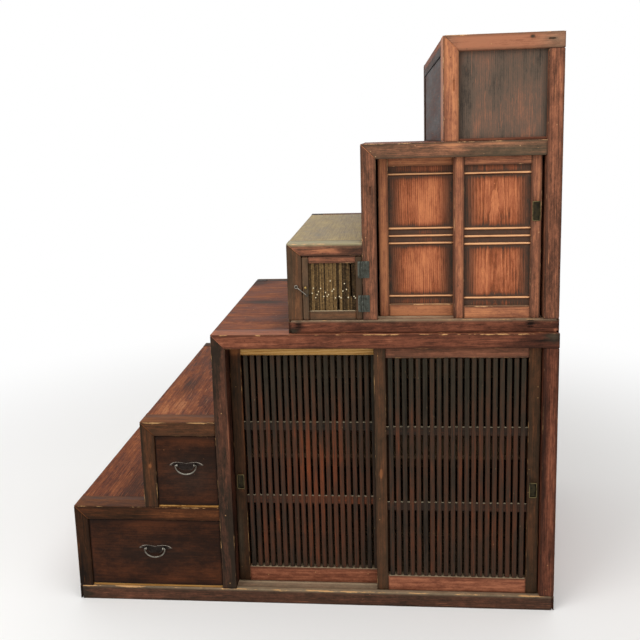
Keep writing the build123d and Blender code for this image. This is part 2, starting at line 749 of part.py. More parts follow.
def hasp():
    """Wire hasp: an eye round the door staple, a shank, and a ring that drops over the post's peg."""
    across = (HASP_DZ, 0, -HASP_DX)
    half = HASP_EYE_LENGTH / 2
    first = (HASP_X - across[0] * half, HASP_Y, HASP_Z - across[2] * half)
    last = (HASP_X + across[0] * half, HASP_Y, HASP_Z + across[2] * half)
    reach = HASP_LENGTH - RING_R
    ring_side = (HASP_X + HASP_DX * reach, HASP_Y, HASP_Z + HASP_DZ * reach)
    shank = rod((HASP_X, HASP_Y, HASP_Z), ring_side, HASP_R)
    ring = Plane(origin=(RING_X, HASP_Y, RING_Z), z_dir=(0, -1, 0)) * Torus(RING_R, RING_WIRE_R)
    eye = rod(first, last, HASP_EYE_R)
    hole = Plane(origin=(HASP_X, HASP_Y, HASP_Z), z_dir=across) * Cylinder(
        HASP_PIN_R + PIVOT_CLEARANCE, 2 * HASP_EYE_LENGTH)
    return shank + ring + eye - hole


def hasp_staple():
    """Staple driven into the door stile; its bridge is the hasp's pivot pin."""
    half = HASP_PIN_LENGTH / 2
    ends = []
    for side in (-1, 1):
        ends.append((HASP_X + side * HASP_DZ * half, HASP_Y, HASP_Z - side * HASP_DX * half))
    staple = rod(ends[0], ends[1], HASP_PIN_R)
    for x, y, z in ends:
        staple = staple + Pos(x, y, z) * Sphere(HASP_PIN_R)
        staple = staple + rod((x, y, z), (x, SMALL_FACE + IRON_DEPTH, z), HASP_PIN_R)
    return staple


def hasp_peg():
    """Headless peg in the post, inside the hasp's ring."""
    return rod((RING_X, UPPER_FRONT - HASP_PEG_OUT, RING_Z), (RING_X, UPPER_FRONT + IRON_DEPTH, RING_Z),
               HASP_PEG_R)


def knob():
    """Small domed knob, its neck in the door stile."""
    x = SMALL_LEFT + KNOB_IN
    z = UPPER_FLOOR + KNOB_Z
    base = SMALL_FACE - KNOB_OUT + KNOB_R
    dome = Pos(x, base, z) * Sphere(KNOB_R)
    dome = dome - board(x - KNOB_R, x + KNOB_R, SMALL_FACE, base + KNOB_R, z - KNOB_R, z + KNOB_R)
    return dome + rod((x, base, z), (x, SMALL_FACE + IRON_DEPTH, z), KNOB_NECK_R)


def small_door_nodes():
    low_post, low_door, low_pin = hinge(UPPER_FLOOR + HINGE_LOW_Z - HINGE_H / 2)
    high_post, high_door, high_pin = hinge(UPPER_FLOOR + HINGE_HIGH_Z - HINGE_H / 2)
    staple = hasp_staple()
    stud = knob()
    frame = [let_in(piece, staple, stud) for piece in small_door_frame()]
    return {
        "small_door_frame": frame,
        "small_door_reeds": small_door_reeds(),
        "small_door_ironwork": [low_door, high_door, staple],
        "small_door_knob": [stud],
        "small_door_hasp": [hasp()],
        "frame_ironwork": [low_post, high_post, low_pin, high_pin, hasp_peg()],
    }


# ---- Assembly ----

def sliding_door_nodes():
    nodes = {}
    lower_clear = RIGHT_INNER - LOWER_LEFT
    upper_clear = RIGHT_INNER - UPPER_LEFT
    lattice_w = (lower_clear + LATTICE_OVERLAP) / 2
    panel_w = (upper_clear + PANEL_DOOR_OVERLAP) / 2
    left_x = LOWER_LEFT + LEFT_LATTICE_AJAR
    right_x = RIGHT_INNER - RIGHT_LATTICE_AJAR - lattice_w
    stile = LATTICE_STILE_W / 2
    left = lattice_door(left_x, lattice_w, REAR_TRACK, left_x + stile)
    right = lattice_door(right_x, lattice_w, FRONT_TRACK, right_x + lattice_w - stile)
    for side, (frame, grille, pull) in (("left", left), ("right", right)):
        nodes[side + "_lattice_frame"] = frame
        nodes[side + "_lattice_grille"] = grille
        nodes[side + "_lattice_pull"] = pull
    left_x = UPPER_LEFT + LEFT_PANEL_AJAR
    frame, infill = panel_door(left_x, panel_w, REAR_TRACK)
    nodes["left_panel_frame"] = frame
    nodes["left_panel_infill"] = infill
    right_x = RIGHT_INNER - RIGHT_PANEL_AJAR - panel_w
    frame, infill = panel_door(right_x, panel_w, FRONT_TRACK)
    pull_x = right_x + panel_w - PANEL_STILE_W / 2
    face = UPPER_FRONT + FRONT_TRACK
    mortise = pull_mortise(pull_x, face, PANEL_PULL_Z, PANEL_PULL_H)
    nodes["right_panel_frame"] = [let_in(piece, mortise) for piece in frame]
    nodes["right_panel_infill"] = infill
    nodes["right_panel_pull"] = [finger_pull(pull_x, face, PANEL_PULL_Z, PANEL_PULL_H)]
    return nodes


def chest_nodes():
    nodes = {}
    for group in (lower_front_frame(), upper_front_frame(), step_treads()):
        for name, piece in group.items():
            nodes[name] = [piece]
    nodes["step_4_post"] = [let_in(nodes["step_4_post"][0], hasp_peg())]
    nodes["base_rails"] = base_frame(X1, X3, FRONT, 0, BASE_H)
    nodes["upper_base_rails"] = base_frame(X4, X5, UPPER_FRONT, Z3, UPPER_SILL_H)
    nodes["lower_back_frame"] = lower_back_frame()
    nodes["upper_back_frame"] = upper_back_frame()
    nodes["lower_side_rails"] = lower_side_rails()
    nodes["upper_side_rails"] = upper_side_rails()
    nodes["lower_side_panels"] = lower_panels()
    nodes["upper_side_panels"] = upper_panels()
    nodes["back_boards"] = back_boards()
    partition = X5 + PANEL_INSET
    nodes["floor_boards"] = [
        floor_board(X3 + PANEL_INSET + PANEL_T, RIGHT_INNER, FRONT, BASE_H),
        floor_board(X4 + POST_W, partition, UPPER_FRONT, UPPER_FLOOR),
        floor_board(partition + PANEL_T, RIGHT_INNER, UPPER_FRONT, UPPER_FLOOR),
    ]
    nodes["runners_and_bearers"] = drawer_runners() + shelf_bearers()
    nodes["cupboard_shelf"] = [shelf()]
    nodes["top_panel"] = top_panel()
    nodes.update(drawer_nodes("wide", X1 + POST_W, X3, BASE_H, Z1 - RAIL_H, WIDE_PULL_Z))
    nodes.update(drawer_nodes("small", X2 + POST_W, X3, Z1, Z2 - RAIL_H, SMALL_PULL_Z))
    nodes.update(sliding_door_nodes())
    nodes.update(small_door_nodes())
    return nodes


os.makedirs("parts", exist_ok=True)
for node_name, pieces in chest_nodes().items():
    solids = [solid for piece in pieces for solid in piece.solids()]
    export_step(solids[0] if len(solids) == 1 else Compound(solids), "parts/" + node_name + ".step")
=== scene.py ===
import functools
import json
import math
import bpy
import numpy as np
from mathutils import Matrix, Vector


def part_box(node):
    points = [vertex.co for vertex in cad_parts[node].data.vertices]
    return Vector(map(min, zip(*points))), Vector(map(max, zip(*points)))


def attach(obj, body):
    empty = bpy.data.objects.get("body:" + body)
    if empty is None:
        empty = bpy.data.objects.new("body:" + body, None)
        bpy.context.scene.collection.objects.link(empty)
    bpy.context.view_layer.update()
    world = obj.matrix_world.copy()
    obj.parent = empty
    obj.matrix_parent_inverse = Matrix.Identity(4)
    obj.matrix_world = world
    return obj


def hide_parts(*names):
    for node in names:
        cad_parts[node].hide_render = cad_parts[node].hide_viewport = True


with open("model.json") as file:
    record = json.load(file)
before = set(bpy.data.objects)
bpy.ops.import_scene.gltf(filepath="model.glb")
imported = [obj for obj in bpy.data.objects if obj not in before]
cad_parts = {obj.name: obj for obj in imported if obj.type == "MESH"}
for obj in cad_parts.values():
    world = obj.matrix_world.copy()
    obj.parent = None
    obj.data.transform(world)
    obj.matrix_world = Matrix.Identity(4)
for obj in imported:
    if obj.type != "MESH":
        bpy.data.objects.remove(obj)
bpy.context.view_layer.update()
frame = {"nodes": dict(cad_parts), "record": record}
bodyOfNode = {node: body for body, nodes in frame["record"]["behaviour"]["bodies"].items() for node in nodes}


def linear(hexColour):
    # an sRGB hex value, turned linear by the curve that the sRGB standard gives
    channels = np.array([int(hexColour[i:i + 2], 16) for i in (1, 3, 5)]) / 255
    curved = ((channels + 0.055) / 1.055) ** 2.4
    return (*np.where(channels <= 0.04045, channels / 12.92, curved).tolist(), 1.0)


def addNode(tree, kind, settings, output=0):
    # one shader node: a setting is a property, a socket's value, an output linked to a socket, or the stops
    # of a ramp
    node = tree.nodes.new("ShaderNode" + kind)
    for key, value in settings.items():
        if key == "stops":
            ramp = node.color_ramp
            while len(ramp.elements) < len(value):
                ramp.elements.new(0.5)
            for element, (place, colour) in zip(ramp.elements, value):
                element.position = place
                element.color = linear(colour)
        elif isinstance(value, bpy.types.NodeSocket):
            tree.links.new(value, node.inputs[key])
        elif isinstance(key, str) and hasattr(node, key):
            setattr(node, key, value)
        elif isinstance(value, str):
            node.inputs[key].default_value = linear(value)
        else:
            node.inputs[key].default_value = value
    return node.outputs[output] if len(node.outputs) else node


def newMaterial(name):
    material = bpy.data.materials.new(name)
    material.use_nodes = True
    material.node_tree.nodes.clear()
    return material, material.node_tree


# Every surface carries its own attributes: "grain" is the place in the plank it was sawn from (along,
# across, through), "arris" the distance to the nearest long edge, "joint" to the nearest end, "rub" how
# much that edge is handled, "tone" how this plank differs from its neighbours, "shade" where it is locally
# darker or rubbed lighter, and "grime" where it is grey with dirt. In some places rub, tone, shade and
# grime also carry painted highlights, painted shade, painted sheen and painted glare, as said where they
# are set. These are their usual values:
pointFields = {"arris": 0.05, "joint": 0.05, "rub": 0.0, "tone": 0.5, "shade": 0.0, "grime": 0.0}

# what every wooden finish has, unless it says otherwise: lengths are millimetres
usualWood = {
    "ringPitch": 6,                                         # between two growth lines
    "rings": 0.1, "fibres": 1.0, "stains": 0.8, "mottle": 1.0, "tones": 0.5,  # how much each pattern shows
    "stainLength": 260, "stainWidth": 60,                   # long patches where the stain is thick or thin
    "rubWidth": 3.0,                                        # bare wood along a handled edge
    "border": 10, "borderShade": 0.3,                       # dirt beside an edge: its width, how dark
    "scratches": 0.2, "dents": 0.55,                        # how far they differ from the wood beside them
    "smooth": 0.48, "rough": 0.68,                          # roughness under thick stain and under thin
    "coat": 0.02, "ior": 1.16,                              # wiped lacquer, so dull that it hardly mirrors
    "relief": 0.4,                                          # from the hollows of the grain to its crests
    "grime": "#3c3b2d", "dust": 0.0, "dustColour": "#94876a",
}

woodFinishes = {
    # cypress frame, soot-stained and wiped: near black, red-brown breaking through, tan on rubbed edges
    "sootedCypress": {
        "deep": "#140b05", "body": "#2f1c0e", "warm": "#4d2b17", "rubbed": "#784828", "bare": "#ae8658",
        "ringPitch": 5, "rings": 0.06, "fibres": 0.95, "mottle": 0.8, "stainLength": 380,
        "stainWidth": 70, "border": 12, "borderShade": 0.6, "scratches": 0.35, "smooth": 0.4,
        "relief": 0.35, "grime": "#b3a082"},
    # the same cypress, stained red under the lacquer: red-brown with orange worn patches
    "redStainedCypress": {
        "deep": "#1b110c", "body": "#4a2a1e", "warm": "#744330", "rubbed": "#a2664a", "bare": "#cb9c68",
        "ringPitch": 5, "rings": 0.12, "fibres": 0.85, "stains": 0.65, "mottle": 0.9, "stainLength": 300,
        "borderShade": 0.7, "scratches": 0.45, "smooth": 0.4, "rough": 0.66, "relief": 0.35,
        "grime": "#97846a"},
    # upper case: the red stain rubbed through to orange in many small spots, grey-brown left between them;
    # the grey in these colours is partly a painted sheen
    "rubbedCypress": {
        "deep": "#32241d", "body": "#5c3b2c", "warm": "#8f5a42", "rubbed": "#bb7b54", "bare": "#d8a878",
        "ringPitch": 5, "rings": 0.12, "stains": 0.65, "tones": 0.7, "border": 8, "borderShade": 0.9,
        "scratches": 0.6, "smooth": 0.42, "grime": "#9a9070"},
    # treads: the same stain walked thin, so that fibre, scratches and grey dirt show
    "walkedTread": {
        "deep": "#2d1a11", "body": "#643420", "warm": "#8c5030", "rubbed": "#b0744a", "bare": "#e0b98a",
        "rings": 0.15, "fibres": 1.3, "stainWidth": 70, "scratches": 0.9, "smooth": 0.42, "rough": 0.72,
        "coat": 0.0, "relief": 0.5, "grime": "#3a2f23"},
    # the fourth tread, at eye height: dusty, its pale green-grey a painted glare of the room's light
    "bleachedTread": {
        "deep": "#564a33", "body": "#8b7650", "warm": "#a89365", "rubbed": "#bfa873", "bare": "#ece0bc",
        "fibres": 0.9, "mottle": 0.9, "stainWidth": 70, "tones": 0.4, "scratches": 0.5, "smooth": 0.34,
        "rough": 0.60, "dents": 0.5},
    # door panels: wire-brushed cedar, soft wood worn away between narrow dark lines
    "brushedCedar": {
        "deep": "#3a3129", "body": "#80452a", "warm": "#a86242", "rubbed": "#ca7f53", "bare": "#cf9a63",
        "rings": 0.26, "fibres": 1.05, "stains": 0.9, "stainLength": 300, "stainWidth": 80, "tones": 0.2,
        "rubWidth": 0.0, "border": 50, "borderShade": 1.3, "scratches": 0.5, "rough": 0.72,
        "relief": 0.8, "grime": "#6b4a3a", "dents": 0.3},
    # front board of the highest step: a darker panel, olive-brown over red, streaked downwards
    "smokedCedar": {
        "deep": "#37312b", "body": "#5c4e43", "warm": "#705546", "rubbed": "#97644b", "bare": "#a8825c",
        "rings": 0.15, "fibres": 0.75, "stains": 0.9, "stainWidth": 45, "tones": 0.2, "rubWidth": 2.0,
        "border": 26, "borderShade": 0.9, "scratches": 0.7, "rough": 0.75, "relief": 0.6, "dents": 0.1},
    # drawer fronts: wide boards, almost black from handling
    "handledCedar": {
        "deep": "#100b08", "body": "#28150b", "warm": "#4b2815", "rubbed": "#6b3a20", "bare": "#9a6a44",
        "ringPitch": 7, "rings": 0.04, "fibres": 0.35, "stains": 1.2, "mottle": 0.7, "stainLength": 420,
        "stainWidth": 170, "tones": 0.3, "rubWidth": 2.0, "border": 18, "borderShade": 0.8,
        "scratches": 0.25, "smooth": 0.36, "rough": 0.60, "relief": 0.25, "grime": "#34302b",
        "dents": 0.4},
    # lattice slats: dark strips, redder lower down, grey dust on what faces up
    "sootedSlat": {
        "deep": "#17120e", "body": "#30271f", "warm": "#472d20", "rubbed": "#6a3720", "bare": "#8f7350",
        "ringPitch": 8, "stains": 0.75, "mottle": 0.6, "stainLength": 220, "tones": 0.17,
        "rubWidth": 0.6, "border": 2, "borderShade": 0.5, "rough": 0.74, "relief": 0.25, "dents": 0.4,
        "dust": 0.8},
    # cross bars of the lattice: the same wood, thick pale dust on each little ledge between two slats
    "dustyBar": {
        "deep": "#130f0c", "body": "#29201a", "warm": "#43291d", "rubbed": "#6a3720", "bare": "#8f7350",
        "ringPitch": 8, "fibres": 0.7, "stains": 1.0, "mottle": 0.6, "stainLength": 400, "tones": 0.35,
        "rubWidth": 0.6, "border": 2, "scratches": 0.4, "rough": 0.74, "relief": 0.25, "dents": 0.4,
        "dust": 3.0, "dustColour": "#b3a68a"},
    # bare cedar, never stained: straw yellow with brown lines
    "bareCedar": {
        "deep": "#5c3c1c", "body": "#90642f", "warm": "#b5874a", "rubbed": "#c69c60", "bare": "#d9b67c",
        "ringPitch": 5, "rings": 0.5, "mottle": 0.5, "stainLength": 300, "stainWidth": 50, "tones": 0.3,
        "rubWidth": 1.5, "border": 8, "borderShade": 0.5, "smooth": 0.55, "rough": 0.8, "coat": 0.0,
        "relief": 0.3, "dents": 0.2},
    # unstained boards inside and at the back, greyed by air and dust
    "agedCedar": {
        "deep": "#3a2c22", "body": "#69523f", "warm": "#866a4f", "rubbed": "#997e62", "bare": "#b59a70",
        "ringPitch": 7, "rings": 0.35, "stains": 1.0, "mottle": 0.5, "stainLength": 400,
        "stainWidth": 80, "tones": 0.4, "rubWidth": 2.0, "borderShade": 0.6, "smooth": 0.6,
        "rough": 0.85, "coat": 0.0, "dents": 0.3, "dust": 0.2},
    # mouldings on the doors: dark in the hollows, worn to tan along their crests, with a painted highlight
    # above their middle and painted shade below
    "beadCedar": {
        "deep": "#2a160e", "body": "#6e3f29", "warm": "#a06c48", "rubbed": "#d9a476", "bare": "#d6a972",
        "fibres": 0.7, "stains": 0.6, "mottle": 0.5, "stainLength": 120, "stainWidth": 20, "tones": 0.9,
        "rubWidth": 0.0, "border": 1, "borderShade": 0.0, "scratches": 0.3, "smooth": 0.42,
        "rough": 0.64, "relief": 0.3, "dents": 0.2},
    # cut ends of the twigs: bare pith, nearly white
    "cutTwig": {
        "deep": "#8a744c", "body": "#d6c49a", "warm": "#eadfc2", "rubbed": "#f3ead2", "bare": "#f3ead2",
        "ringPitch": 2, "rings": 0.2, "fibres": 0.6, "stains": 0.4, "mottle": 0.4, "stainLength": 10,
        "stainWidth": 4, "tones": 0.2, "rubWidth": 0.0, "border": 1, "borderShade": 0.0,
        "scratches": 0.0, "smooth": 0.6, "rough": 0.8, "coat": 0.0, "relief": 0.1, "dents": 0.0},
    # split reed: gold to brown stalks, darker near their ends
    "dryReed": {
        "deep": "#1c140c", "body": "#4b3a26", "warm": "#755b39", "rubbed": "#9a7d52", "bare": "#e2d3ae",
        "ringPitch": 3, "fibres": 0.8, "stains": 0.7, "mottle": 0.4, "stainLength": 60, "stainWidth": 6,
        "tones": 0.4, "rubWidth": 0.0, "border": 1, "borderShade": 0.0, "scratches": 0.4, "smooth": 0.5,
        "rough": 0.75, "relief": 0.2, "dents": 0.0},
}

# the patterns that all wooden finishes share, in millimetres where nothing else is said
woodPattern = {
    # clouds: along and across the grain, octaves, how rough they are, and a shift
    "clouds": {
        "wander": (900, 200, 2, 0.5, 0),    # how the growth lines drift
        "fibre": (120, 5, 6, 0.76, 0),      # real fibres are 0.1 mm wide: drawn coarser so that they show
        "mottle": (38, 18, 8, 0.84, 7),     # colour rubbed through in finger-wide spots
        "scratch": (62, 4.4, 3, 0.6, 11),   # real scratches are under 1 mm wide: drawn coarser too
        "ragged": (70, 17, 5, 0.75, 17),    # how unevenly an edge is worn bare
    },
    "stainCloud": (5, 0.6, 3),              # octaves, roughness and shift of the cloud that each finish sizes
    "drift": 0.035,                         # metres that the growth lines wander sideways
    "pithTurn": (0, 0.01, 0.015),           # the heart of the tree is not quite parallel to the plank
    "colourPlaces": (0.14, 0.42, 0.66, 0.92),   # where deep, body, warm and rubbed stand on a scale of 0 to 1
    "scratchFrom": (0.63, 0.72),            # the part of the scratch cloud that counts as a scratch
    "dentSpacing": 26,
    "dentSize": (0.042, 0.09),              # as shares of the spacing; drawn 2 to 5 mm wide, not 1
    "jointDirt": 5,                         # width of the dirt at an end
    "gain": 1.8,                            # a cloud is about 0.5, so this brings a product with it back to 1
    "ragMiddle": 0.45, "bareFade": 0.0014,  # level of the ragged cloud that counts as worn; metres of fading
    "bareShare": 0.85,                      # how much of a worn edge is bare wood
}


def woodMaterial(name, look):
    material, tree = newMaterial(name)
    add = functools.partial(addNode, tree)
    pattern = woodPattern
    grain = add("Attribute", {"attribute_name": "grain"}, 1)
    arris, joint, rub, tone, shade, grime = [add("Attribute", {"attribute_name": key}, 2)
                                             for key in pointFields]
    cloud = {}
    stainCloud = {"stain": (look["stainLength"], look["stainWidth"], *pattern["stainCloud"])}
    for key, (along, across, octaves, roughness, shift) in (pattern["clouds"] | stainCloud).items():
        place = add("VectorMath", {"operation": "MULTIPLY_ADD", 0: grain, 2: (shift,) * 3,
                                   1: (1000 / along, 1000 / across, 1000 / across)})
        cloud[key] = add("TexNoise", {"Vector": place, "Scale": 1.0, "Detail": octaves,
                                      "Roughness": roughness})

    # growth lines: a saw wave of the distance from a pith far beside the plank, so nearly straight along it
    bent = add("VectorMath", {"operation": "MULTIPLY_ADD", 0: cloud["wander"], 2: grain,
                              1: (0, pattern["drift"], pattern["drift"])})
    pith = add("Mapping", {"Vector": bent, "Rotation": pattern["pithTurn"]})
    ringScale = 2 * math.pi / (20 * look["ringPitch"] / 1000)  # the node repeats every 2 pi / 20 of its scale
    ring = add("TexWave", {"wave_type": "RINGS", "rings_direction": "X", "wave_profile": "SAW",
                           "Vector": pith, "Scale": ringScale, "Distortion": 1.5, "Detail": 2.0,
                           "Detail Scale": 1.0})

    # how deep the colour is: 0.5 plus each pattern's share of its distance from 0.5; a ramp gives the colour
    shares = ((ring, look["rings"]), (cloud["fibre"], look["fibres"]), (cloud["stain"], look["stains"]),
              (cloud["mottle"], look["mottle"]), (tone, look["tones"]))
    level = add("Math", {"operation": "ADD", 0: shade, 1: 0.5 - sum(share for source, share in shares) / 2})
    for source, share in shares:
        level = add("Math", {"operation": "MULTIPLY_ADD", 0: source, 1: share, 2: level})
    colours = [look[key] for key in ("deep", "body", "warm", "rubbed")]
    colour = add("ValToRGB", {"Fac": level, "stops": list(zip(pattern["colourPlaces"], colours))})

    # scratches along the fibre, more of them where it is rubbed
    rubbedMore = add("Math", {"operation": "MULTIPLY_ADD", 0: shade, 1: 0.3, 2: cloud["scratch"]})
    low, high = pattern["scratchFrom"]
    scratch = add("MapRange", {"Value": rubbedMore, "From Min": low, "From Max": high,
                               "To Max": look["scratches"]})
    colour = add("Mix", {"data_type": "RGBA", 0: scratch, 6: colour, 7: look["rubbed"]}, 2)

    # dents: pale where the colour is knocked off, dark where dirt fills them, about half of each
    dents = add("TexVoronoi", {"Vector": grain, "Scale": 1000 / pattern["dentSpacing"]}).node.outputs
    low, high = pattern["dentSize"]
    dented = add("MapRange", {"Value": dents["Distance"], "From Min": low, "From Max": high,
                              "To Min": look["dents"], "To Max": 0.0})
    filled = add("ValToRGB", {"Fac": dents["Color"], "stops": [(0.5, look["deep"]), (0.55, look["bare"])]})
    colour = add("Mix", {"data_type": "RGBA", 0: dented, 6: colour, 7: filled}, 2)

    # dirt gathers beside edges and at the joints: full at the edge, none at the border's width
    dirt, endDirt = [add("MapRange", {"Value": source, "From Max": width / 1000,
                                      "To Min": 1.0, "To Max": 0.0})
                     for source, width in ((arris, look["border"]), (joint, pattern["jointDirt"]))]
    dirt = add("Math", {"operation": "MAXIMUM", 0: dirt, 1: endDirt})
    dirt = add("Math", {"operation": "MULTIPLY", 0: dirt, 1: cloud["mottle"]})
    dirt = add("Math", {"operation": "MULTIPLY", 0: dirt, 1: pattern["gain"] * look["borderShade"],
                        "use_clamp": True})
    colour = add("Mix", {"data_type": "RGBA", 0: dirt, 6: colour, 7: look["deep"]}, 2)

    # grime: grey patches where feet and hands have left it; in places the same grey also paints sheen, glare
    # and shade, as said where it is set
    greyed = add("Math", {"operation": "MULTIPLY", 0: grime, 1: cloud["mottle"]})
    greyed = add("Math", {"operation": "MULTIPLY", 0: greyed, 1: pattern["gain"], "use_clamp": True})
    colour = add("Mix", {"data_type": "RGBA", 0: greyed, 6: colour, 7: look["grime"]}, 2)

    # rubbed edges: the stain is gone within a ragged width of the arris; on the panel doors' rails this also
    # paints a highlight
    reach = add("Math", {"operation": "SUBTRACT", 0: cloud["ragged"], 1: pattern["ragMiddle"]})
    width = add("Math", {"operation": "MULTIPLY", 0: rub, 1: look["rubWidth"] / 200})
    reach = add("Math", {"operation": "MULTIPLY", 0: reach, 1: width})
    reach = add("Math", {"operation": "SUBTRACT", 0: reach, 1: arris})
    bare = add("MapRange", {"Value": reach, "From Max": pattern["bareFade"], "To Max": pattern["bareShare"]})
    colour = add("Mix", {"data_type": "RGBA", 0: bare, 6: colour, 7: look["bare"]}, 2)

    # grey dust on faces that look up
    if look["dust"]:
        up = add("SeparateXYZ", {"Vector": add("NewGeometry", {}, 1)}, 2)
        up = add("MapRange", {"Value": up, "From Min": 0.6, "From Max": 1.0, "To Max": look["dust"]})
        up = add("Math", {"operation": "MULTIPLY", 0: up, 1: cloud["stain"]})
        up = add("Math", {"operation": "MULTIPLY", 0: up, 1: 1.7, "use_clamp": True})
        colour = add("Mix", {"data_type": "RGBA", 0: up, 6: colour, 7: look["dustColour"]}, 2)

    # thick stain is smoother than thin, and bare wood is dull
    dull = add("Math", {"operation": "ADD", 0: cloud["stain"], 1: cloud["mottle"]})
    dull = add("Math", {"operation": "MULTIPLY_ADD", 0: bare, 1: 0.6, 2: dull})
    roughness = add("MapRange", {"Value": dull, "From Min": 0.7, "From Max": 1.4,
                                 "To Min": look["smooth"], "To Max": look["rough"]})
    # fibres and growth lines stand proud, scratches and dents lie deeper
    relief = cloud["fibre"]
    for source, height in ((ring, 0.3), (scratch, -0.5), (dented, -1.0)):
        relief = add("Math", {"operation": "MULTIPLY_ADD", 0: source, 1: height, 2: relief})
    bump = add("Bump", {"Height": relief, "Strength": 1.0, "Distance": look["relief"] / 1000})
    shader = add("BsdfPrincipled", {
        "Base Color": colour, "Roughness": roughness, "Normal": bump, "IOR": look["ior"],
        "Coat Weight": look["coat"], "Coat Roughness": 0.35, "Coat IOR": 1.3})
    add("OutputMaterial", {"Surface": shader})
    return material


finishes = {name: woodMaterial(name, usualWood | look) for name, look in woodFinishes.items()}
print("wood:", len(finishes), "finishes")


# what every metal finish has, unless it says otherwise
usualMetal = {"metallic": 0.9, "patches": 14}       # brown or green patches, millimetres apart

metalFinishes = {
    # hand-forged iron, blacked in oil: dark, hammered, brown where damp reached it, bright on handled crests
    "blackedIron": {"body": "#2d302b", "rust": "#2a251d", "bright": "#6d7066",
                    "smooth": 0.45, "rough": 0.7, "hammer": 5, "relief": 0.25},
    # drawer plates: sheet iron lacquered with the wood, as dark as the drawer, a grey highlight painted on
    # its rim
    "lacqueredIron": {"body": "#2b2420", "rust": "#221a16", "bright": "#8d8478",
                      "smooth": 0.40, "rough": 0.6, "hammer": 5, "relief": 0.2},
    # the same iron polished by hands: grey and half bright
    "handledIron": {"body": "#6f6a60", "rust": "#4b443a", "bright": "#a39d91",
                    "smooth": 0.28, "rough": 0.45, "hammer": 6, "relief": 0.12},
    # sheet brass, browned, with green in its corners
    "brownedBrass": {"body": "#37301f", "rust": "#232019", "bright": "#8c7c52", "metallic": 0.85,
                     "smooth": 0.35, "rough": 0.60, "hammer": 4, "relief": 0.10},
    # turned brass, still yellow
    "turnedBrass": {"body": "#a88745", "rust": "#6a5430", "bright": "#d9bd7a", "metallic": 0.95,
                    "smooth": 0.22, "rough": 0.40, "hammer": 3, "relief": 0.06},
}


def metalMaterial(name, look):
    material, tree = newMaterial(name)
    add = functools.partial(addNode, tree)
    place = add("TexCoord", {}, 3)
    handledAndHighlight = add("Attribute", {"attribute_name": "rub"}, 2)
    cloud = add("TexNoise", {"Vector": place, "Scale": 1000 / look["patches"], "Detail": 5.0,
                             "Roughness": 0.65})
    blows = add("TexVoronoi", {"Vector": place, "Scale": 1000 / look["hammer"], "feature": "SMOOTH_F1"})
    colour = add("ValToRGB", {"Fac": cloud, "stops": [(0.38, look["rust"]), (0.56, look["body"])]})
    # bright where the surface is a crest or hands keep it so, and along the rims of pulls and plates where a
    # highlight is painted, in patches
    crest = add("MapRange", {"Value": add("NewGeometry", {}, 7), "From Min": 0.52, "From Max": 0.62})
    crest = add("Math", {"operation": "MAXIMUM", 0: crest, 1: handledAndHighlight})
    worn = add("MapRange", {"Value": cloud, "From Min": 0.3, "From Max": 0.5})
    crest = add("Math", {"operation": "MULTIPLY", 0: crest, 1: worn})
    colour = add("Mix", {"data_type": "RGBA", 0: crest, 6: colour, 7: look["bright"]}, 2)
    roughness = add("MapRange", {"Value": cloud, "From Min": 0.3, "From Max": 0.7,
                                 "To Min": look["rough"], "To Max": look["smooth"]})
    bump = add("Bump", {"Height": blows, "Strength": 0.8, "Distance": look["relief"] / 1000})
    shader = add("BsdfPrincipled", {
        "Base Color": colour, "Roughness": roughness, "Normal": bump, "Metallic": look["metallic"]})
    add("OutputMaterial", {"Surface": shader})
    return material


for name, look in metalFinishes.items():
    finishes[name] = metalMaterial(name, usualMetal | look)
print("metal:", len(metalFinishes), "finishes")


def waver(along, seed, longest):
    # five sines of the distance, each about half as long and 0.6 as high as the one before, with phases from
    # the seed: about -1 to 1
    phases = np.random.default_rng(seed).uniform(0, 2 * math.pi, 5)
    waves = [0.6 ** k * np.sin(2 * math.pi * along * 2.1 ** k / longest + phases[k]) for k in range(5)]
    return np.sum(waves, axis=0) / 2.2


def closedSurface(rings, finish, wrap=False, **fields):
    # rings[i, j] is a point: j goes round a section, i along the piece. Both ends close in a pole, or, with
    # wrap, the last section meets the first. Each field is one number or a grid like the rings.
    rows, around = rings.shape[:2]
    index = np.arange(rows * around).reshape(rows, around)
    beside = np.roll(index, -1, axis=1)
    if wrap:
        quads = [index, beside, np.roll(beside, -1, axis=0), np.roll(index, -1, axis=0)]
        triangles = np.zeros((0, 3), int)
    else:
        quads = [index[:-1], beside[:-1], beside[1:], index[1:]]
        pole = np.full(around, rows * around)
        triangles = np.concatenate([np.stack([pole, beside[0], index[0]], axis=1),
                                    np.stack([pole + 1, index[-1], beside[-1]], axis=1)])

    def withPoles(grid):
        # the grid as a list of points, then the mean of its first and of its last row
        flat = grid.reshape(rows * around, *grid.shape[2:])
        return flat if wrap else np.concatenate([flat, grid[[0, -1]].mean(axis=1)])

    points = withPoles(rings)
    quads = np.stack(quads, axis=-1).reshape(-1, 4)
    fans = np.concatenate([quads[:, :3], quads[:, [0, 2, 3]], triangles])
    first, second, third = np.moveaxis(points[fans] - points[0], 1, 0)
    if np.sum(np.cross(first, second) * third) < 0:  # inside out: turn every face
        quads, triangles = quads[:, ::-1], triangles[:, ::-1]
    made = {"points": points, "quads": quads, "triangles": triangles, "finish": finish}
    for name, usual in pointFields.items():
        made[name] = withPoles(np.broadcast_to(fields.get(name, usual), (rows, around)))
    made["grain"] = withPoles(fields.get("grain", rings))
    return made


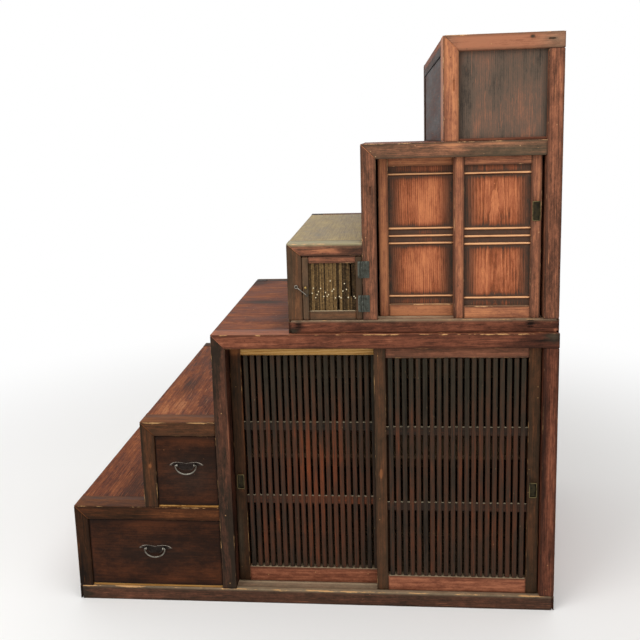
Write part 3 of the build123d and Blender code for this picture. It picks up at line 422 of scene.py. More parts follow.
boardForm = {  # in metres
    "arris": 0.0012,                   # radius left by the plane
    "worn": 0.0013,                    # added where hands and feet have rounded it
    "wearLength": 0.22,                # over which the wear of an edge changes
    "near": (0.004, 0.009, 0.018),     # grid lines beside an edge
    "clear": 0.0035, "apart": 0.0006,  # an even grid line keeps off an edge, and off a mark
    "wall": 0.0002,                    # how far the wall of a cut leans out over its depth
    "plank": 0.27, "planked": 0.4,     # boards wider than planked are glued up from planks of this width
    "seam": (0.0012, 0.0015),          # half width and depth of the groove where two planks meet
    "smallPatch": 0.02,                # a patch smaller than this gets grid lines of its own
    "patchMargin": 0.004,              # and they stay this far from the edges
    "lean": 0.15,                      # over which the rows turn towards a mitre
    "glueLine": 0.0012,                # the pale line where a mitre is glued
    "far": 0.06,                       # the finish takes no notice of an edge beyond this
}
arcDegrees = np.array([0, 30, 60, 90])
sectionSides = {"+p": (1, 1), "+q": (-1, 1), "-p": (-1, -1), "-q": (1, -1)}  # and the corner that ends each


def spread(half, marks=(), step=0.045):
    # places from -half to half: close together beside both edges, even between, and at the marks
    near = [half - gap for gap in boardForm["near"] if gap < 0.8 * half]
    middle = min(near) if near else 0
    count = max(2, int(2 * middle / step) + 1)
    places = np.concatenate([near, np.negative(near), np.linspace(-middle, middle, count), [0]])
    places = np.unique(np.round(places[np.abs(places) <= max(half - boardForm["clear"], 0)], 5))
    for mark in marks:
        places = places[np.abs(places - mark) > boardForm["apart"]]
    return np.unique(np.round(np.append(places, marks), 6))


def boardSection(halfP, halfQ, marks, step):
    # the section as sharp corners, what each point moves per unit of corner radius, and which corner it
    # belongs to, or -1 on a side
    sharp, turn, corner = [], [], []
    for number, (side, signs) in enumerate(sectionSides.items()):
        flat, half = (halfP, halfQ) if side[1] == "p" else (halfQ, halfP)
        places = spread(half, marks[side], step)[::-1 if side in ("+q", "-p") else 1]
        level = np.full(len(places), flat if side[0] == "+" else -flat)
        angle = np.radians(90 * number + arcDegrees)
        sharp += [np.stack([level, places] if side[1] == "p" else [places, level], axis=1),
                  np.tile(np.multiply(signs, (halfP, halfQ)), (len(angle), 1))]
        turn += [np.zeros((len(places), 2)), np.stack([np.cos(angle), np.sin(angle)], axis=1) - signs]
        corner += [np.full(len(places), -1), np.full(len(angle), number)]
    return np.concatenate(sharp), np.concatenate(turn), np.concatenate(corner)


def boardRows(halfG, radius, marks, step):
    # places along the board, how far each row is drawn in there, and its size as a share of the section:
    # two small rows close an end, an arc rounds it over, and the rest are even
    inner = spread(halfG, marks, step)
    inner = inner[np.abs(inner) < halfG - radius - 0.0005]
    arc = np.radians(arcDegrees)
    ends = halfG - radius * (1 - np.sin(arc))
    insets = radius * (1 - np.cos(arc))
    places = np.concatenate([[-halfG, -halfG], -ends[::-1], inner, ends, [halfG, halfG]])
    drawnIn = np.concatenate([[radius, radius], insets, 0 * inner, insets[::-1], [radius, radius]])
    size = np.concatenate([[0.3, 0.75], np.ones(len(places) - 4), [0.75, 0.3]])
    return places, drawnIn, size


def wornBoard(low, high, along, finish, seed, rub=(0.3,) * 4, mitres=(), recesses=(), tone=None, rebate=None,
              faces=None, patches=(), softEnd=0.0015, heart=None, planked=True, rowStep=0.035,
              sideStep=0.045):
    # A rectangular section of width p and height q carried along the axis g. Its four corners are quarter
    # circles whose radius wavers along the board, its ends are rounded over in the same way, and each end may
    # slope across the section. A recess pushes the part of one side between two places across and two along
    # inward by its depth; a rebate (width, depth) takes away the +p +q edge from end to end, for a board that
    # laps over it. faces gives sides a shade and grime of their own; each patch is (centre, radii, shade,
    # grime), fading like a bell. heart is where the tree's heart lay across the board, seen from its middle;
    # without it, a seeded guess. A wide board is planked: seams run along it, and each plank has a tone and a
    # grain of its own.
    low, high = np.array(low, float), np.array(high, float)
    axes = [along, (along + 1) % 3, (along + 2) % 3]
    centre = ((low + high) / 2)[axes]
    halfG, halfP, halfQ = ((high - low) / 2)[axes]
    wall = boardForm["wall"]

    # cuts in the board's own measures: side, from and to across, from and to along, depth
    cuts = []
    for recess in recesses:
        across = np.array(recess["across"]) - centre[2 if recess["side"][1] == "p" else 1]
        cuts.append((recess["side"], across, np.array(recess["along"]) - centre[0], recess["depth"]))
    wide, half = ("q", halfQ) if halfQ > halfP else ("p", halfP)
    isPlanked = planked and 2 * half > boardForm["planked"]
    planks = max(1, round(2 * half / boardForm["plank"])) if isPlanked else 1
    seams = np.linspace(-half, half, planks + 1)[1:-1]
    seamHalf, seamDepth = boardForm["seam"]
    cuts += [(sign + ("p" if wide == "q" else "q"), np.array((place - seamHalf, place + seamHalf)),
              np.array((-2 * halfG, 2 * halfG)), seamDepth) for place in seams for sign in "+-"]

    # grid lines for cuts, the rebate and small patches
    sideMarks = {side: [] for side in sectionSides}
    rowMarks = []
    for side, across, length, depth in cuts:
        sideMarks[side] += [across[0] - wall, *across, across[1] + wall]
        rowMarks += [place for place in (length[0] - wall, *length, length[1] + wall)
                     if abs(place) < halfG - 0.001]
    if rebate:
        sideMarks["+q"] += [halfP - rebate[0] - wall, halfP - rebate[0]]
    for middle, reach, lighter, greyer in patches:
        size = np.array(np.broadcast_to(reach, 3))[axes]
        if min(size[0], max(size[1:])) < boardForm["smallPatch"]:
            places = (np.array(middle) - (low + high) / 2)[axes] + size * np.linspace(-1.5, 1.5, 7)[:, None]
            margin = boardForm["patchMargin"]
            rowMarks += [place for place in places[:, 0] if abs(place) < halfG - margin]
            for side in sideMarks:
                number, half = (2, halfQ) if side[1] == "p" else (1, halfP)
                sideMarks[side] += [place for place in places[:, number] if abs(place) < half - margin]

    sharp, turn, corner = boardSection(halfP, halfQ, sideMarks, sideStep)
    if rebate:
        width, depth = rebate
        lowered = (sharp[:, 1] >= halfQ - 1e-6) & (sharp[:, 0] > halfP - width - 1e-6)
        under = (sharp[:, 0] >= halfP - 1e-6) & (corner != 3) & ~lowered
        sharp[under, 1] = (sharp[under, 1] + halfQ) * (1 - depth / (2 * halfQ)) - halfQ
        sharp[lowered, 1] = halfQ - depth
    endRadius = min(softEnd, 0.3 * min(halfP, halfQ), 0.2 * halfG)
    g, drawnIn, size = boardRows(halfG, endRadius, rowMarks, rowStep)

    # round the corners, push in the cuts, draw in the ends
    wear = np.stack([0.5 + 0.5 * waver(g, seed + k, boardForm["wearLength"]) for k in range(4)], axis=1)
    largest = min(boardForm["arris"] + boardForm["worn"], 0.42 * min(halfP, halfQ))
    radii = np.minimum(boardForm["arris"] + boardForm["worn"] * wear * (0.4 + np.array(rub)), largest)
    radii = np.concatenate([radii, np.zeros((len(g), 1))], axis=1)[:, corner]
    p = sharp[:, 0] + radii * turn[:, 0]
    q = sharp[:, 1] + radii * turn[:, 1]
    for side, across, length, depth in cuts:
        place, pushed, half = (sharp[:, 1], p, halfP) if side[1] == "p" else (sharp[:, 0], q, halfQ)
        inside = (((place >= across[0] - 1e-6) & (place <= across[1] + 1e-6))[None]
                  & ((g >= length[0] - 1e-6) & (g <= length[1] + 1e-6))[:, None])
        bottom = np.minimum(pushed, half - depth) if side[0] == "+" else np.maximum(pushed, depth - half)
        pushed[inside] = bottom[inside]
    p = p * ((1 - drawnIn / halfP) * size)[:, None]
    q = q * ((1 - drawnIn / halfQ) * size)[:, None]
    straight = np.repeat(g[:, None], len(sharp), axis=1)

    # distances to the long edges and to the ends, for dirt and wear; no dirt at a mitre, but a pale glue line
    gapP, gapQ = halfP - np.abs(p), halfQ - np.abs(q)
    arris = np.where(size[:, None] < 1, np.minimum(gapP, gapQ), np.maximum(gapP, gapQ))
    noJoint = pointFields["joint"]
    joint = np.minimum(halfG - np.abs(straight) + 0.0005, noJoint)
    nearest = np.where(p > 0, np.where(q > 0, 0, 3), np.where(q > 0, 1, 2))
    leaning, shade, grime = straight, 0 * p, 0 * p
    for side, (lighter, greyer) in (faces or {}).items():
        gap = {"+p": halfP - p, "+q": halfQ - q, "-p": p + halfP, "-q": q + halfQ}[side]
        shade, grime = shade + lighter * (gap < 0.0004), grime + greyer * (gap < 0.0004)
    for end, across, atLow, atHigh in mitres:
        joint = np.where(end * straight > 0, noJoint, joint)
        share = np.clip(1 - (halfG - end * leaning) / min(boardForm["lean"], 1.8 * halfG), 0, 1)
        width = (p / halfP + 1) / 2 if across == "p" else (q / halfQ + 1) / 2
        leaning = leaning + share * (atLow + (atHigh - atLow) * width)
        shade = shade + 1.1 * (end * straight > halfG - boardForm["glueLine"])

    # places in the room and in the tree
    dice = np.random.default_rng(seed + 90)
    rings = np.zeros(straight.shape + (3,))
    for axis, values, middle in zip(axes, (leaning, p, q), centre):
        rings[..., axis] = values + middle
    grain = np.stack([leaning, p, q], axis=-1) + dice.uniform(-3, 3, 3)
    if heart:
        grain[..., 1:] = np.stack([p - heart[0], q - heart[1]], axis=-1)
    tone = np.full(p.shape, dice.uniform(0, 1) if tone is None else tone)
    if planks > 1:
        plank = np.searchsorted(seams, q if wide == "q" else p)
        tone = tone + dice.uniform(-0.3, 0.3, planks)[plank]
        grain = grain + plank[..., None] * (0.7, 0.31, 0.23)  # each plank from another part of the tree
    for middle, reach, lighter, greyer in patches:
        bell = np.exp(-np.sum(((rings - middle) / reach) ** 2, axis=-1))
        shade, grime = shade + lighter * bell, grime + greyer * bell
    return closedSurface(rings, finish, grain=grain, arris=np.minimum(arris, boardForm["far"]), joint=joint,
                         rub=np.array(rub)[nearest], tone=tone, shade=shade, grime=grime)


def tube(path, radii, finish, sides=10, wrap=False, **fields):
    # a round section of changing radius, carried along a path without twist
    path = np.array(path, float)
    radii = np.broadcast_to(radii, len(path))
    if wrap:
        tangent = np.roll(path, -1, axis=0) - np.roll(path, 1, axis=0)
    else:
        tangent = np.gradient(path, axis=0)
    tangent /= np.linalg.norm(tangent, axis=1)[:, None]
    turnsAbout = np.linalg.svd(tangent - tangent.mean(axis=0) + 1e-9)[2][-1]
    normal = np.cross(tangent, turnsAbout)
    weak = np.linalg.norm(normal, axis=1) < 1e-3
    normal[weak] = np.cross(tangent[weak], (0.31, 0.5, 0.81))  # any direction that isn't the path's own
    normal /= np.linalg.norm(normal, axis=1)[:, None]
    side = np.cross(tangent, normal)
    angle = np.linspace(0, 2 * math.pi, sides, endpoint=False)
    rings = path[:, None] + radii[:, None, None] * (
        np.cos(angle)[None, :, None] * normal[:, None] + np.sin(angle)[None, :, None] * side[:, None])
    return closedSurface(rings, finish, wrap, **fields)


def circleAbout(axis, helper, count):
    # points of the unit circle about an axis, and the axis made one long
    axis = np.array(axis, float) / np.linalg.norm(axis)
    first = np.cross(axis, helper)
    first /= np.linalg.norm(first)
    angle = np.linspace(0, 2 * math.pi, count, endpoint=False)
    return np.cos(angle)[:, None] * first + np.sin(angle)[:, None] * np.cross(axis, first), axis


def lathe(profile, origin, axis, sides):
    # rings: each (distance along the axis, radius) pair is swept round the axis
    profile = np.array(profile, float)
    circle, axis = circleAbout(axis, (0, 0, 1) if abs(axis[2]) < 0.9 else (1, 0, 0), sides)
    return np.array(origin) + profile[:, 0, None, None] * axis + profile[:, 1, None, None] * circle


def turned(profile, origin, axis, finish, sides=20):
    return closedSurface(lathe(profile, origin, axis, sides), finish)


def addPiece(name, surfaces, nodes):
    # joins surfaces into one mesh object, which stands for the named CAD nodes and rides on their body
    starts = np.cumsum([0] + [len(s["points"]) for s in surfaces])
    names = sorted({s["finish"] for s in surfaces})
    corners, sizes, slots = [], [], []
    for start, s in zip(starts, surfaces):
        for faces in (s["quads"], s["triangles"]):
            corners.append((faces + start).ravel())
            sizes.append(np.full(len(faces), faces.shape[1]))
            slots.append(np.full(len(faces), names.index(s["finish"])))
    corners, sizes = np.concatenate(corners), np.concatenate(sizes)
    mesh = bpy.data.meshes.new(name)
    mesh.vertices.add(starts[-1])
    mesh.vertices.foreach_set("co", np.concatenate([s["points"] for s in surfaces]).ravel())
    mesh.loops.add(len(corners))
    mesh.loops.foreach_set("vertex_index", corners)
    mesh.polygons.add(len(sizes))
    mesh.polygons.foreach_set("loop_start", np.cumsum(sizes) - sizes)
    mesh.polygons.foreach_set("material_index", np.concatenate(slots))
    mesh.polygons.foreach_set("use_smooth", np.ones(len(sizes), bool))
    for key in pointFields:
        values = np.concatenate([s[key] for s in surfaces]).astype(np.float32)
        mesh.attributes.new(key, "FLOAT", "POINT").data.foreach_set("value", values)
    grain = np.concatenate([s["grain"] for s in surfaces]).astype(np.float32)
    mesh.attributes.new("grain", "FLOAT_VECTOR", "POINT").data.foreach_set("vector", grain.ravel())
    mesh.update(calc_edges=True)
    for finish in names:
        mesh.materials.append(finishes[finish])
    piece = bpy.data.objects.new(name, mesh)
    bpy.context.scene.collection.objects.link(piece)
    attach(piece, bodyOfNode[nodes[0]])
    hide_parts(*nodes)


def solidBoxes(node):
    # the lowest and highest corners of a node's solids: its triangles come solid by solid, and a solid ends
    # where every edge so far has been met twice
    mesh = frame["nodes"][node].data
    places = np.zeros(len(mesh.vertices) * 3, np.float32)
    mesh.vertices.foreach_get("co", places)
    places = places.reshape(-1, 3).astype(float)
    same = np.unique(np.round(places * 1e5).astype(np.int64), axis=0, return_inverse=True)[1].ravel()
    corners = np.zeros(len(mesh.loops), np.int32)
    mesh.loops.foreach_get("vertex_index", corners)
    triangles = same[corners].reshape(-1, 3)
    pairs = np.sort(np.stack([triangles, np.roll(triangles, -1, axis=1)], axis=-1).reshape(-1, 2), axis=1)
    edge = np.unique(pairs, axis=0, return_inverse=True)[1].ravel()
    order = np.argsort(edge, kind="stable")
    met = np.zeros(len(edge), int)  # how often each edge came before
    met[order] = np.arange(len(edge)) - np.searchsorted(edge[order], edge[order])
    openEdges = np.cumsum(1 - 2 * (met % 2))[2::3]
    ends = np.flatnonzero(openEdges == 0) + 1
    return [(part.min(axis=0), part.max(axis=0)) for part in np.split(places[corners], 3 * ends[:-1])]


def box(node):
    low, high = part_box(node)
    return np.array(low), np.array(high)


def seedOf(node, number=0):
    return sum(ord(letter) * (place + 3) for place, letter in enumerate(node)) * 50 + number


def boards(node, finish, first=0, last=None, shrink=0.0, **form):
    # the node's solids as worn boards, the grain along each one's longest side unless form says otherwise
    made = []
    for number, (low, high) in list(enumerate(solidBoxes(node)))[first:last]:
        settings = {"along": int(np.argmax(high - low))} | form
        made.append(wornBoard(low + (shrink, 0, 0), high - (shrink, 0, 0), finish=finish,
                              seed=seedOf(node, number), **settings))
    return made


# rub: how much the four long edges are handled. On a post they are right-back, left-back, left-front and
# right-front, on a rail top-back, top-front, bottom-front and bottom-back. tone: 0 is the darkest plank of a
# finish, 1 the warmest. greyed: grey all over the front, grime together with a painted sheen.
frontFrame = {
    "base_sill": {"finish": "redStainedCypress", "rub": (0.5, 1.9, 0.5, 0.1), "tone": 0.15, "greyed": 0.06},
    "step_1_post": {"finish": "sootedCypress", "rub": (0.2, 0.4, 0.9, 0.5), "tone": 0.3},
    "step_1_rail": {"finish": "sootedCypress", "rub": (0.6, 1.8, 0.6, 0.1), "tone": 0.6},
    "step_2_post": {"finish": "sootedCypress", "rub": (0.2, 0.4, 0.8, 1.0), "tone": 0.55, "greyed": 0.025},
    "step_2_rail": {"finish": "sootedCypress", "rub": (0.6, 1.8, 0.6, 0.1), "tone": 0.65, "greyed": 0.03},
    "step_3_post": {"finish": "redStainedCypress", "rub": (0.2, 0.5, 0.9, 0.5), "tone": 0.1, "greyed": 0.05},
    "step_3_rail": {"finish": "redStainedCypress", "rub": (0.4, 1.4, 0.6, 0.1), "tone": 0.6},
    "lower_right_post": {"finish": "redStainedCypress", "rub": (0.2, 0.2, 0.6, 0.8), "tone": 0.6},
    "upper_sill": {"finish": "redStainedCypress", "rub": (0.4, 1.0, 0.9, 0.1), "tone": 0.5},
    "step_4_post": {"finish": "sootedCypress", "rub": (0.2, 0.4, 0.9, 0.5), "tone": 0.75, "greyed": 0.08},
    "step_4_rail": {"finish": "rubbedCypress", "rub": (0.8, 2.0, 0.5, 0.1), "tone": 0.38},
    "step_5_post": {"finish": "rubbedCypress", "rub": (0.2, 0.4, 0.9, 0.5), "tone": 0.42, "greyed": 0.02},
    "step_5_rail": {"finish": "rubbedCypress", "rub": (0.6, 1.3, 0.5, 0.1), "tone": 0.42, "greyed": 0.09},
    "step_6_post": {"finish": "rubbedCypress", "rub": (0.2, 0.4, 1.2, 0.6), "tone": 0.92},
    "step_6_rail": {"finish": "redStainedCypress", "rub": (0.6, 1.4, 0.5, 0.1), "tone": 1.45, "greyed": 0.12},
    "upper_right_post": {"finish": "rubbedCypress", "rub": (0.2, 0.2, 0.6, 0.8), "tone": 0.55},
}
frameForm = {
    "postWidth": 0.045, "railHeight": 0.045, "step4RailHeight": 0.038,
    "lap": (0.018, 0.0221),      # width and thickness of the tread's edge that lies on a rail
    "topLight": 0.22,            # rails are rubbed lighter on top
    "cutDepth": 0.004,           # of the small cuts below
    "sillEnd": 0.005,            # sills are knocked round at their ends
}
# small cuts, slots and the ends of through tenons: from and to in x and in z
tenonSlot = 0.0018  # height of the slots in the sill's tenon ends
frameCuts = {
    "step_5_post": [((0.2135, 0.2165), (1.329, 1.359))],
    "step_6_post": [((0.4595, 0.4630), (1.624, 1.660))],
    "step_6_rail": [((0.7270, 0.7440), (1.7585, 1.7625))],
    "upper_sill": [((-0.0205, -0.0030), (z, z + tenonSlot)) for z in (0.9245, 0.9340, 0.9430)]
                  + [((0.6800, 0.6975), (z, z + tenonSlot)) for z in (0.9225, 0.9320, 0.9410)],
}
# knots, bruises and rubbed places on the fronts: x and z, reach in x, y and z, shade, grime
frameMarks = {
    "step_6_rail": ((0.755, 1.757, 0.05, 0.02, 0.03, -0.3, 0.3), (0.435, 1.765, 0.03, 0.02, 0.02, -0.4, 0.15),
                    (0.55, 1.76, 0.12, 0.02, 0.02, 0.12, 0), (0.681, 1.768, 0.006, 0.01, 0.004, -1.0, 0),
                    (0.737, 1.7605, 0.012, 0.01, 0.004, -0.6, 0), (0.60, 1.755, 0.10, 0.01, 0.008, -0.2, 0)),
    "step_6_post": ((0.447, 1.60, 0.006, 0.02, 0.18, -0.25, 0),),
    "step_5_rail": ((0.452, 1.468, 0.030, 0.02, 0.011, 0.6, 0), (0.60, 1.472, 0.10, 0.02, 0.005, 0.5, 0),
                    (0.33, 1.455, 0.06, 0.02, 0.02, 0.06, 0), (0.64, 1.455, 0.13, 0.02, 0.03, -0.22, 0.08)),
    "step_3_rail": ((0.752, 0.895, 0.020, 0.02, 0.012, -0.9, 0.2), (0.70, 0.88, 0.05, 0.02, 0.02, -0.25, 0),
                    (-0.10, 0.885, 0.15, 0.02, 0.02, 0.12, 0)),
    "upper_sill": ((-0.012, 0.935, 0.010, 0.02, 0.012, -0.4, 0), (0.689, 0.933, 0.010, 0.02, 0.012, -0.25, 0),
                   (-0.030, 0.912, 0.018, 0.02, 0.010, -0.5, 0.1),
                   (0.764, 0.912, 0.006, 0.02, 0.005, 0.9, 0)),
    "step_2_post": ((-0.5066, 0.4725, 0.004, 0.01, 0.007, 0.8, 0), (-0.528, 0.45, 0.006, 0.02, 0.2, -0.3, 0)),
    "step_1_post": ((-0.769, 0.19, 0.004, 0.02, 0.05, 0.35, 0), (-0.765, 0.08, 0.012, 0.02, 0.03, -0.2, 0)),
    "step_1_rail": ((-0.45, 0.305, 0.10, 0.02, 0.02, 0.15, 0), (-0.62, 0.305, 0.08, 0.02, 0.02, -0.1, 0)),
    "step_3_post": ((-0.278, 0.842, 0.02, 0.02, 0.05, -0.25, 0), (-0.2455, 0.55, 0.003, 0.01, 0.10, 0.5, 0),
                    (-0.250, 0.12, 0.018, 0.02, 0.22, -0.3, 0)),
    "lower_right_post": ((0.75, 0.50, 0.02, 0.02, 0.16, 0.16, 0), (0.733, 0.50, 0.005, 0.02, 0.5, -0.25, 0)),
    "step_4_post": ((-0.010, 0.99, 0.012, 0.02, 0.04, 0.25, 0), (-0.03, 1.10, 0.012, 0.02, 0.08, -0.2, 0)),
    "step_4_rail": ((0.07, 1.165, 0.04, 0.02, 0.012, 0.2, 0), (0.165, 1.165, 0.03, 0.02, 0.03, -0.25, 0)),
    "base_sill": ((-0.755, 0.02, 0.02, 0.02, 0.015, -0.3, 0), (-0.60, 0.02, 0.12, 0.02, 0.02, 0.12, 0)),
}
# grey dust on top of a sill or rail: middle in x, distance behind the front, its reach, shade and grime
dustStrips = {
    # on the fourth step's rail this grey-green is dust, and also the fourth tread's painted glare carried
    # onto it
    "step_4_rail": (0.08, 0.035, 1.0, 0.09, 0.006, 0.1, 1.2),
    "base_sill": (0.1, 0.03, 1.0, 0.05, 0.005, 0.2, 1.1),
    "upper_sill": (0.1, 0.03, 1.0, 0.05, 0.005, 0.2, 1.1),
}
doorTracks = {
    "front": (0.015, 0.041), "rear": (0.049, 0.075),      # from and to behind the front of the sill
    "sillDepth": 0.004, "headDepth": 0.012,
    "starts": {"base_sill": -0.2435, "upper_sill": 0.2325}, "end": 0.7275,
}


def tracks(node, side, depth, start):
    front = box(node)[0][1]
    return [{"side": side, "across": front + np.array(doorTracks[track]), "along": (start, doorTracks["end"]),
             "depth": doorTracks[depth]} for track in ("front", "rear")]


for node, look in frontFrame.items():
    low, high = box(node)
    isPost, isSill = node.endswith("_post"), node.endswith("_sill")
    front = "-q" if isPost else "-p"
    # the front's grey (greyed) is grime and partly a painted sheen
    form = {"finish": look["finish"], "rub": look["rub"], "tone": look["tone"], "recesses": [], "patches": [],
            "faces": {front: (0, look.get("greyed", 0.0))}, "softEnd": 0.0015}
    if isSill:
        form["softEnd"] = frameForm["sillEnd"]
        form["recesses"] = tracks(node, "+q", "sillDepth", doorTracks["starts"][node])
    elif not isPost:
        form |= {"mitres": ((-1, "q", frameForm["postWidth"], 0),), "rebate": frameForm["lap"]}
        form["faces"]["+q"] = (frameForm["topLight"], 0)
    elif node.startswith("step"):
        railHeight = frameForm["step4RailHeight" if node == "step_4_post" else "railHeight"]
        form["mitres"] = ((1, "p", 0, -railHeight),)
    if node in ("step_3_rail", "step_5_rail"):
        form["recesses"] = tracks(node, "-q", "headDepth", low[0] - 0.01)  # out through the mitre
    for xs, zs in frameCuts.get(node, ()):
        form["recesses"].append({"side": front, "depth": frameForm["cutDepth"],
                                 "across": xs if isPost else zs, "along": zs if isPost else xs})
    if node in dustStrips:
        x, behind, *reach, lighter, greyer = dustStrips[node]
        form["patches"].append(((x, low[1] + behind, high[2]), reach, lighter, greyer))
    for x, z, *reach, lighter, greyer in frameMarks.get(node, ()):
        form["patches"].append(((x, round(low[1], 4), z), reach, lighter, greyer))
    addPiece(node + "_board", boards(node, **form), [node])

# patches: (centre, reach in x, y and z, shade, grime), scuffed lighter or walked dark and grey
treads = {
    "step_1_tread": {"finish": "walkedTread", "along": 1, "tone": 0.45, "patches": [
        ((-0.60, -0.26, 0.33), (0.06, 0.16, 0.03), -0.14, 0.35),
        ((-0.667, -0.327, 0.33), (0.012, 0.08, 0.03), 0.2, 0.0),
        ((-0.66, 0.10, 0.33), (0.05, 0.25, 0.03), 0.10, 0.0)]},
    "step_2_tread": {"finish": "walkedTread", "along": 1, "tone": 0.5, "patches": [
        ((-0.44, -0.32, 0.619), (0.05, 0.10, 0.03), 0.2, 0.0),
        ((-0.461, -0.093, 0.619), (0.03, 0.10, 0.03), -0.2, 0.4),
        ((-0.45, 0.25, 0.619), (0.06, 0.15, 0.03), -0.12, 0.2)]},
    "step_3_tread": {"finish": "walkedTread", "along": 0, "tone": 0.5, "patches": [
        ((-0.191, 0.009, 0.905), (0.07, 0.028, 0.03), -0.3, 0.8),
        ((-0.06, -0.20, 0.905), (0.05, 0.3, 0.03), -0.1, 0.35),
        ((-0.273, 0.366, 0.905), (0.05, 0.05, 0.03), -0.4, 0.3)]},
    "step_4_tread": {"finish": "bleachedTread", "along": 1, "tone": 0.5},
    "step_5_tread": {"finish": "walkedTread", "along": 1, "tone": 0.5},
    "step_6_tread": {"finish": "walkedTread", "along": 1, "tone": 0.5},
}
treadForm = {"rub": (0.1,) * 4, "softEnd": 0.0004, "shrink": 0.0002, "planked": False, "rowStep": 0.02,
             "sideStep": 0.02}
for node, look in treads.items():
    addPiece(node + "_board", boards(node, **treadForm, **look), [node])

sideFrame = {
    "lower_back_frame": "sootedCypress", "upper_back_frame": "sootedCypress",
    "lower_side_rails": "sootedCypress", "upper_side_rails": "sootedCypress",
    "base_rails": "sootedCypress", "upper_base_rails": "sootedCypress",
    "lower_side_panels": "redStainedCypress", "upper_side_panels": "redStainedCypress",
    "back_boards": "agedCedar", "floor_boards": "agedCedar", "cupboard_shelf": "agedCedar",
    "runners_and_bearers": "agedCedar",
}
for node, finish in sideFrame.items():
    addPiece(node + "_boards", boards(node, finish), [node])

drawerFronts = {  # greyer in the middle, where hands reach, redder towards the top and the foot
    "wide_drawer_front": {"tone": 0.6, "patches": [
        ((-0.50, -0.44, 0.165), (0.17, 0.1, 0.05), -0.12, 0.15),
        ((-0.50, -0.44, 0.28), (0.13, 0.1, 0.02), 0.15, 0),
        ((-0.56, -0.44, 0.05), (0.16, 0.1, 0.03), 0.12, 0)]},
    "small_drawer_front": {"tone": 0.35, "patches": [
        ((-0.38, -0.44, 0.44), (0.08, 0.1, 0.06), -0.1, 0.35),
        ((-0.40, -0.44, 0.56), (0.08, 0.1, 0.02), 0.1, 0)]},
}
for node, look in drawerFronts.items():
    addPiece(node + "_board", boards(node, "handledCedar", along=0, rub=(0.3,) * 4, **look), [node])
for node in ("wide_drawer_box", "small_drawer_box"):  # sides and back, then the paler bottom
    addPiece(node + "_boards", boards(node, "agedCedar", last=3)
             + boards(node, "bareCedar", first=3, along=0, tone=0.8), [node])

topPanel = {  # slate-dark above and at the right, red streaks low down
    "tone": 0.9,                 # of the ledge along its foot
    "patches": (
        ((0.66, -0.41, 1.70), (0.09, 1, 0.07), -0.14, 0.12), ((0.52, -0.41, 1.715), (0.09, 1, 0.03), 0.14, 0),
        ((0.49, -0.41, 1.60), (0.02, 1, 0.12), -0.2, 0.05), ((0.55, -0.41, 1.66), (0.03, 1, 0.06), 0.06, 0),
        ((0.575, -0.41, 1.54), (0.03, 1, 0.06), 0.2, 0), ((0.655, -0.41, 1.57), (0.02, 1, 0.06), 0.18, 0),
        ((0.52, -0.41, 1.52), (0.03, 1, 0.03), 0.12, 0), ((0.69, -0.41, 1.51), (0.02, 1, 0.04), 0.1, 0)),
}
addPiece("top_panel_boards", boards("top_panel", "smokedCedar", last=1, along=2, rub=(0,) * 4, rowStep=0.015,
                                    sideStep=0.02, patches=topPanel["patches"])
         + boards("top_panel", "redStainedCypress", first=1, tone=topPanel["tone"]), ["top_panel"])
print("frames, treads, panels and drawers done")


# A door is a frame of left stile, right stile, bottom rail and top rail, and these lists follow that order.
# bottom and top are where its rails end inside; ledgeDust is grey dust on the bottom rail.
latticeDoor = {
    "stile": 0.036, "bottom": 0.097, "top": 0.825, "ledgeDust": 1.2,
    "left": {
        "pullX": -0.2235, "greyed": (0.02, 0.03, 0.0, 0.0), "tones": (0.3, 0.6, 0.9, 1.5),
        "finishes": ("sootedCypress", "sootedCypress", "redStainedCypress", "bareCedar"),
        "patches": {0: (((-0.224, -0.3954, 0.848), (0.022, 0.02, 0.018), 1.1, 0),
                        ((-0.206, -0.3954, 0.60), (0.003, 0.01, 0.16), 0.5, 0),
                        ((-0.230, -0.3954, 0.20), (0.008, 0.02, 0.10), -0.3, 0.1))}},
    "right": {
        "pullX": 0.7055, "greyed": (0.05, 0.035, 0.0, 0.09), "tones": (0.6, 0.45, 1.0, 0.7),
        "finishes": ("sootedCypress", "sootedCypress", "redStainedCypress", "redStainedCypress"),
        "patches": {0: (((0.2343, -0.4294, 0.446), (0.004, 0.01, 0.012), 1.3, 0),)}},
    "slats": 20,                 # the solids after them are the cross bars
    "pullHalfHeight": 0.0235,
}
# handled parts of the grilles are redder, their upper third is grey: (centre, radii, shade, grime)
latticeGlow = (
    ((0.25, -0.41, 0.80), (2.0, 0.2, 0.16), -0.12, 0.25),
    ((0.03, -0.39, 0.47), (0.11, 0.2, 0.16), 0.34, 0.0),
    ((0.00, -0.39, 0.20), (0.16, 0.2, 0.12), 0.14, 0.0),
    ((0.00, -0.39, 0.78), (0.20, 0.2, 0.12), 0.12, 0.0),
    ((0.42, -0.42, 0.40), (0.16, 0.2, 0.22), 0.06, 0.05),
    ((0.60, -0.42, 0.25), (0.12, 0.2, 0.16), 0.05, 0.05),
)
panelDoor = {
    "stile": 0.030, "bottom": 0.984, "top": 1.409, "ledgeDust": 0.3, "finishes": ("rubbedCypress",) * 4,
    # the rails' edges that face the panel are painted pale: a painted highlight, drawn as edge wear
    "rubs": ((0.2, 0.2, 0.7, 0.7),) * 2 + ((0.2, 1.2, 0.7, 0.7), (0.2, 0.2, 1.2, 0.7)),
    "left": {"tones": (1.0, 0.7, 1.15, 0.95), "greyed": (0.0, 0.0, 0.0, 0.0), "heart": (-0.35, 0.1)},
    "right": {"tones": (0.7, 0.65, 0.8, 0.7), "greyed": (0.0, 0.02, 0.0, 0.02), "heart": (0.01, 0.075)},
    "fields": (1.092, 1.300),    # middle heights of the two rubbed fields, between the dark edges and beads
    "fieldReach": (0.075, 1, 0.085), "fieldShade": 0.26,
    "beads": (1.0085, 1.1735, 1.1965, 1.2195, 1.3845),
    "pullX": 0.7035, "pullHalfHeight": 0.028,
}
